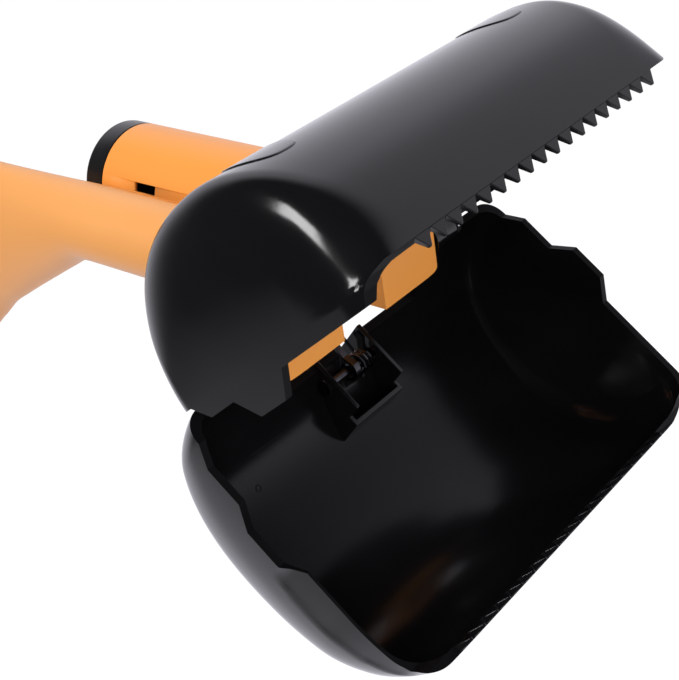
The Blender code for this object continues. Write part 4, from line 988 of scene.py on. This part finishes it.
def buildWorld():
    # white to the camera; what shiny surfaces mirror is white ahead and below, and dim behind the camera
    sheet = Sheet(bpy.data.worlds.new("studio"), "Generated")
    bpy.context.scene.world = sheet.owner
    ahead = sheet.within(
        sheet.along(sky["whiteWay"]), sky["whiteFrom"], sky["whiteTo"],
        sky["dim"], sky["white"], "SMOOTHSTEP")
    hidden = sheet.within(
        sheet.along(sky["hideWay"]), sky["hideFrom"], sky["hideTo"], 1.0, sky["hide"], "SMOOTHSTEP")
    below = sheet.within(sheet.along(sky["upWay"]), sky["groundFrom"], sky["groundTo"])
    glossy = sheet.ray("Is Glossy Ray")
    mirrored = glossy * (ahead * hidden).larger(below)
    seen = sheet.ray("Is Camera Ray", "Is Transmission Ray") * sky["seen"]
    background = sheet.tree.nodes["Background"]
    sheet.feed(background.inputs["Color"], (*sky["tint"], 1))
    sheet.feed(background.inputs["Strength"], seen.larger(mirrored).larger((1 - glossy) * sky["fill"]))


# Only the near box shows in shiny surfaces; the others just light
mirroredLamp = "near_box"
lamps = {
    "near_box": {
        "place": (-0.815, 0.100, 0.712), "target": (-0.06, -0.16, 0.11), "size": (0.38, 0.30), "power": 5.0},
    "key": {"place": (-0.9, -0.5, 1.0), "target": (0, -0.12, 0.07), "size": (0.7, 0.7), "power": 4.4},
    "top": {"place": (0.3, -0.3, 1.2), "target": (0, -0.12, 0.07), "size": (0.9, 0.5), "power": 4.4},
    "front": {"place": (-0.59, -0.67, 0.52), "target": (0, -0.12, 0.07), "size": (0.4, 0.4), "power": 2.4},
    "mouth": {"place": (-0.25, -0.62, 0.14), "target": (0, -0.14, 0.075), "size": (0.25, 0.25), "power": 1.3},
    "side": {"place": (0.9, -0.9, 0.4), "target": (0, -0.12, 0.07), "size": (0.5, 0.9), "power": 1.6},
}


def buildLamp(name, look):
    light = bpy.data.lights.new(name, "AREA")
    light.shape = "RECTANGLE"
    light.size, light.size_y = look["size"]
    light.energy = look["power"]
    lamp = bpy.data.objects.new(name, light)
    bpy.context.scene.collection.objects.link(lamp)
    lamp.visible_glossy = name == mirroredLamp
    lamp.location = look["place"]
    lamp.rotation_euler = (Vector(look["target"]) - Vector(look["place"])).to_track_quat("-Z", "Y").to_euler()


# In the hinge's own axes; the spot is in millimetres, and the middle and lens are in the photograph's pixels
view = {
    "right": (0.61374902, 0.12612761, -0.77936126), "down": (-0.43610222, 0.87704886, -0.20149478),
    "ahead": (0.65812385, 0.46354840, 0.59329241), "spot": (-262.856, -201.492, -251.930),
    "lens": 1382.94, "middle": (381.458, 256.873), "width": 679, "height": 680, "sensor": 36, "near": 0.01,
}


def buildCamera():
    # found from the outlines in the photograph
    camera = bpy.data.cameras.new("camera")
    item = bpy.data.objects.new("camera", camera)
    bpy.context.scene.collection.objects.link(item)
    matrix = np.eye(4)
    for column, (name, sign) in enumerate((("right", 1), ("down", -1), ("ahead", -1))):
        x, y, z = view[name]
        matrix[:3, column] = (sign * x, sign * z, -sign * y)
    matrix[:3, 3] = placed(np.array(view["spot"]) * mm)
    item.matrix_world = Matrix(matrix.tolist())
    camera.sensor_fit = "HORIZONTAL"
    camera.sensor_width = view["sensor"]
    camera.lens = view["lens"] * view["sensor"] / view["width"]
    camera.shift_x = (view["width"] / 2 - view["middle"][0]) / view["width"]
    camera.shift_y = (view["middle"][1] - view["height"] / 2) / view["width"]
    camera.clip_start = view["near"]
    bpy.context.scene.camera = item


buildFloor()
buildWorld()
for name, look in lamps.items():
    buildLamp(name, look)
buildCamera()
bpy.context.scene.view_settings.view_transform = "Standard"
print("studio ready")
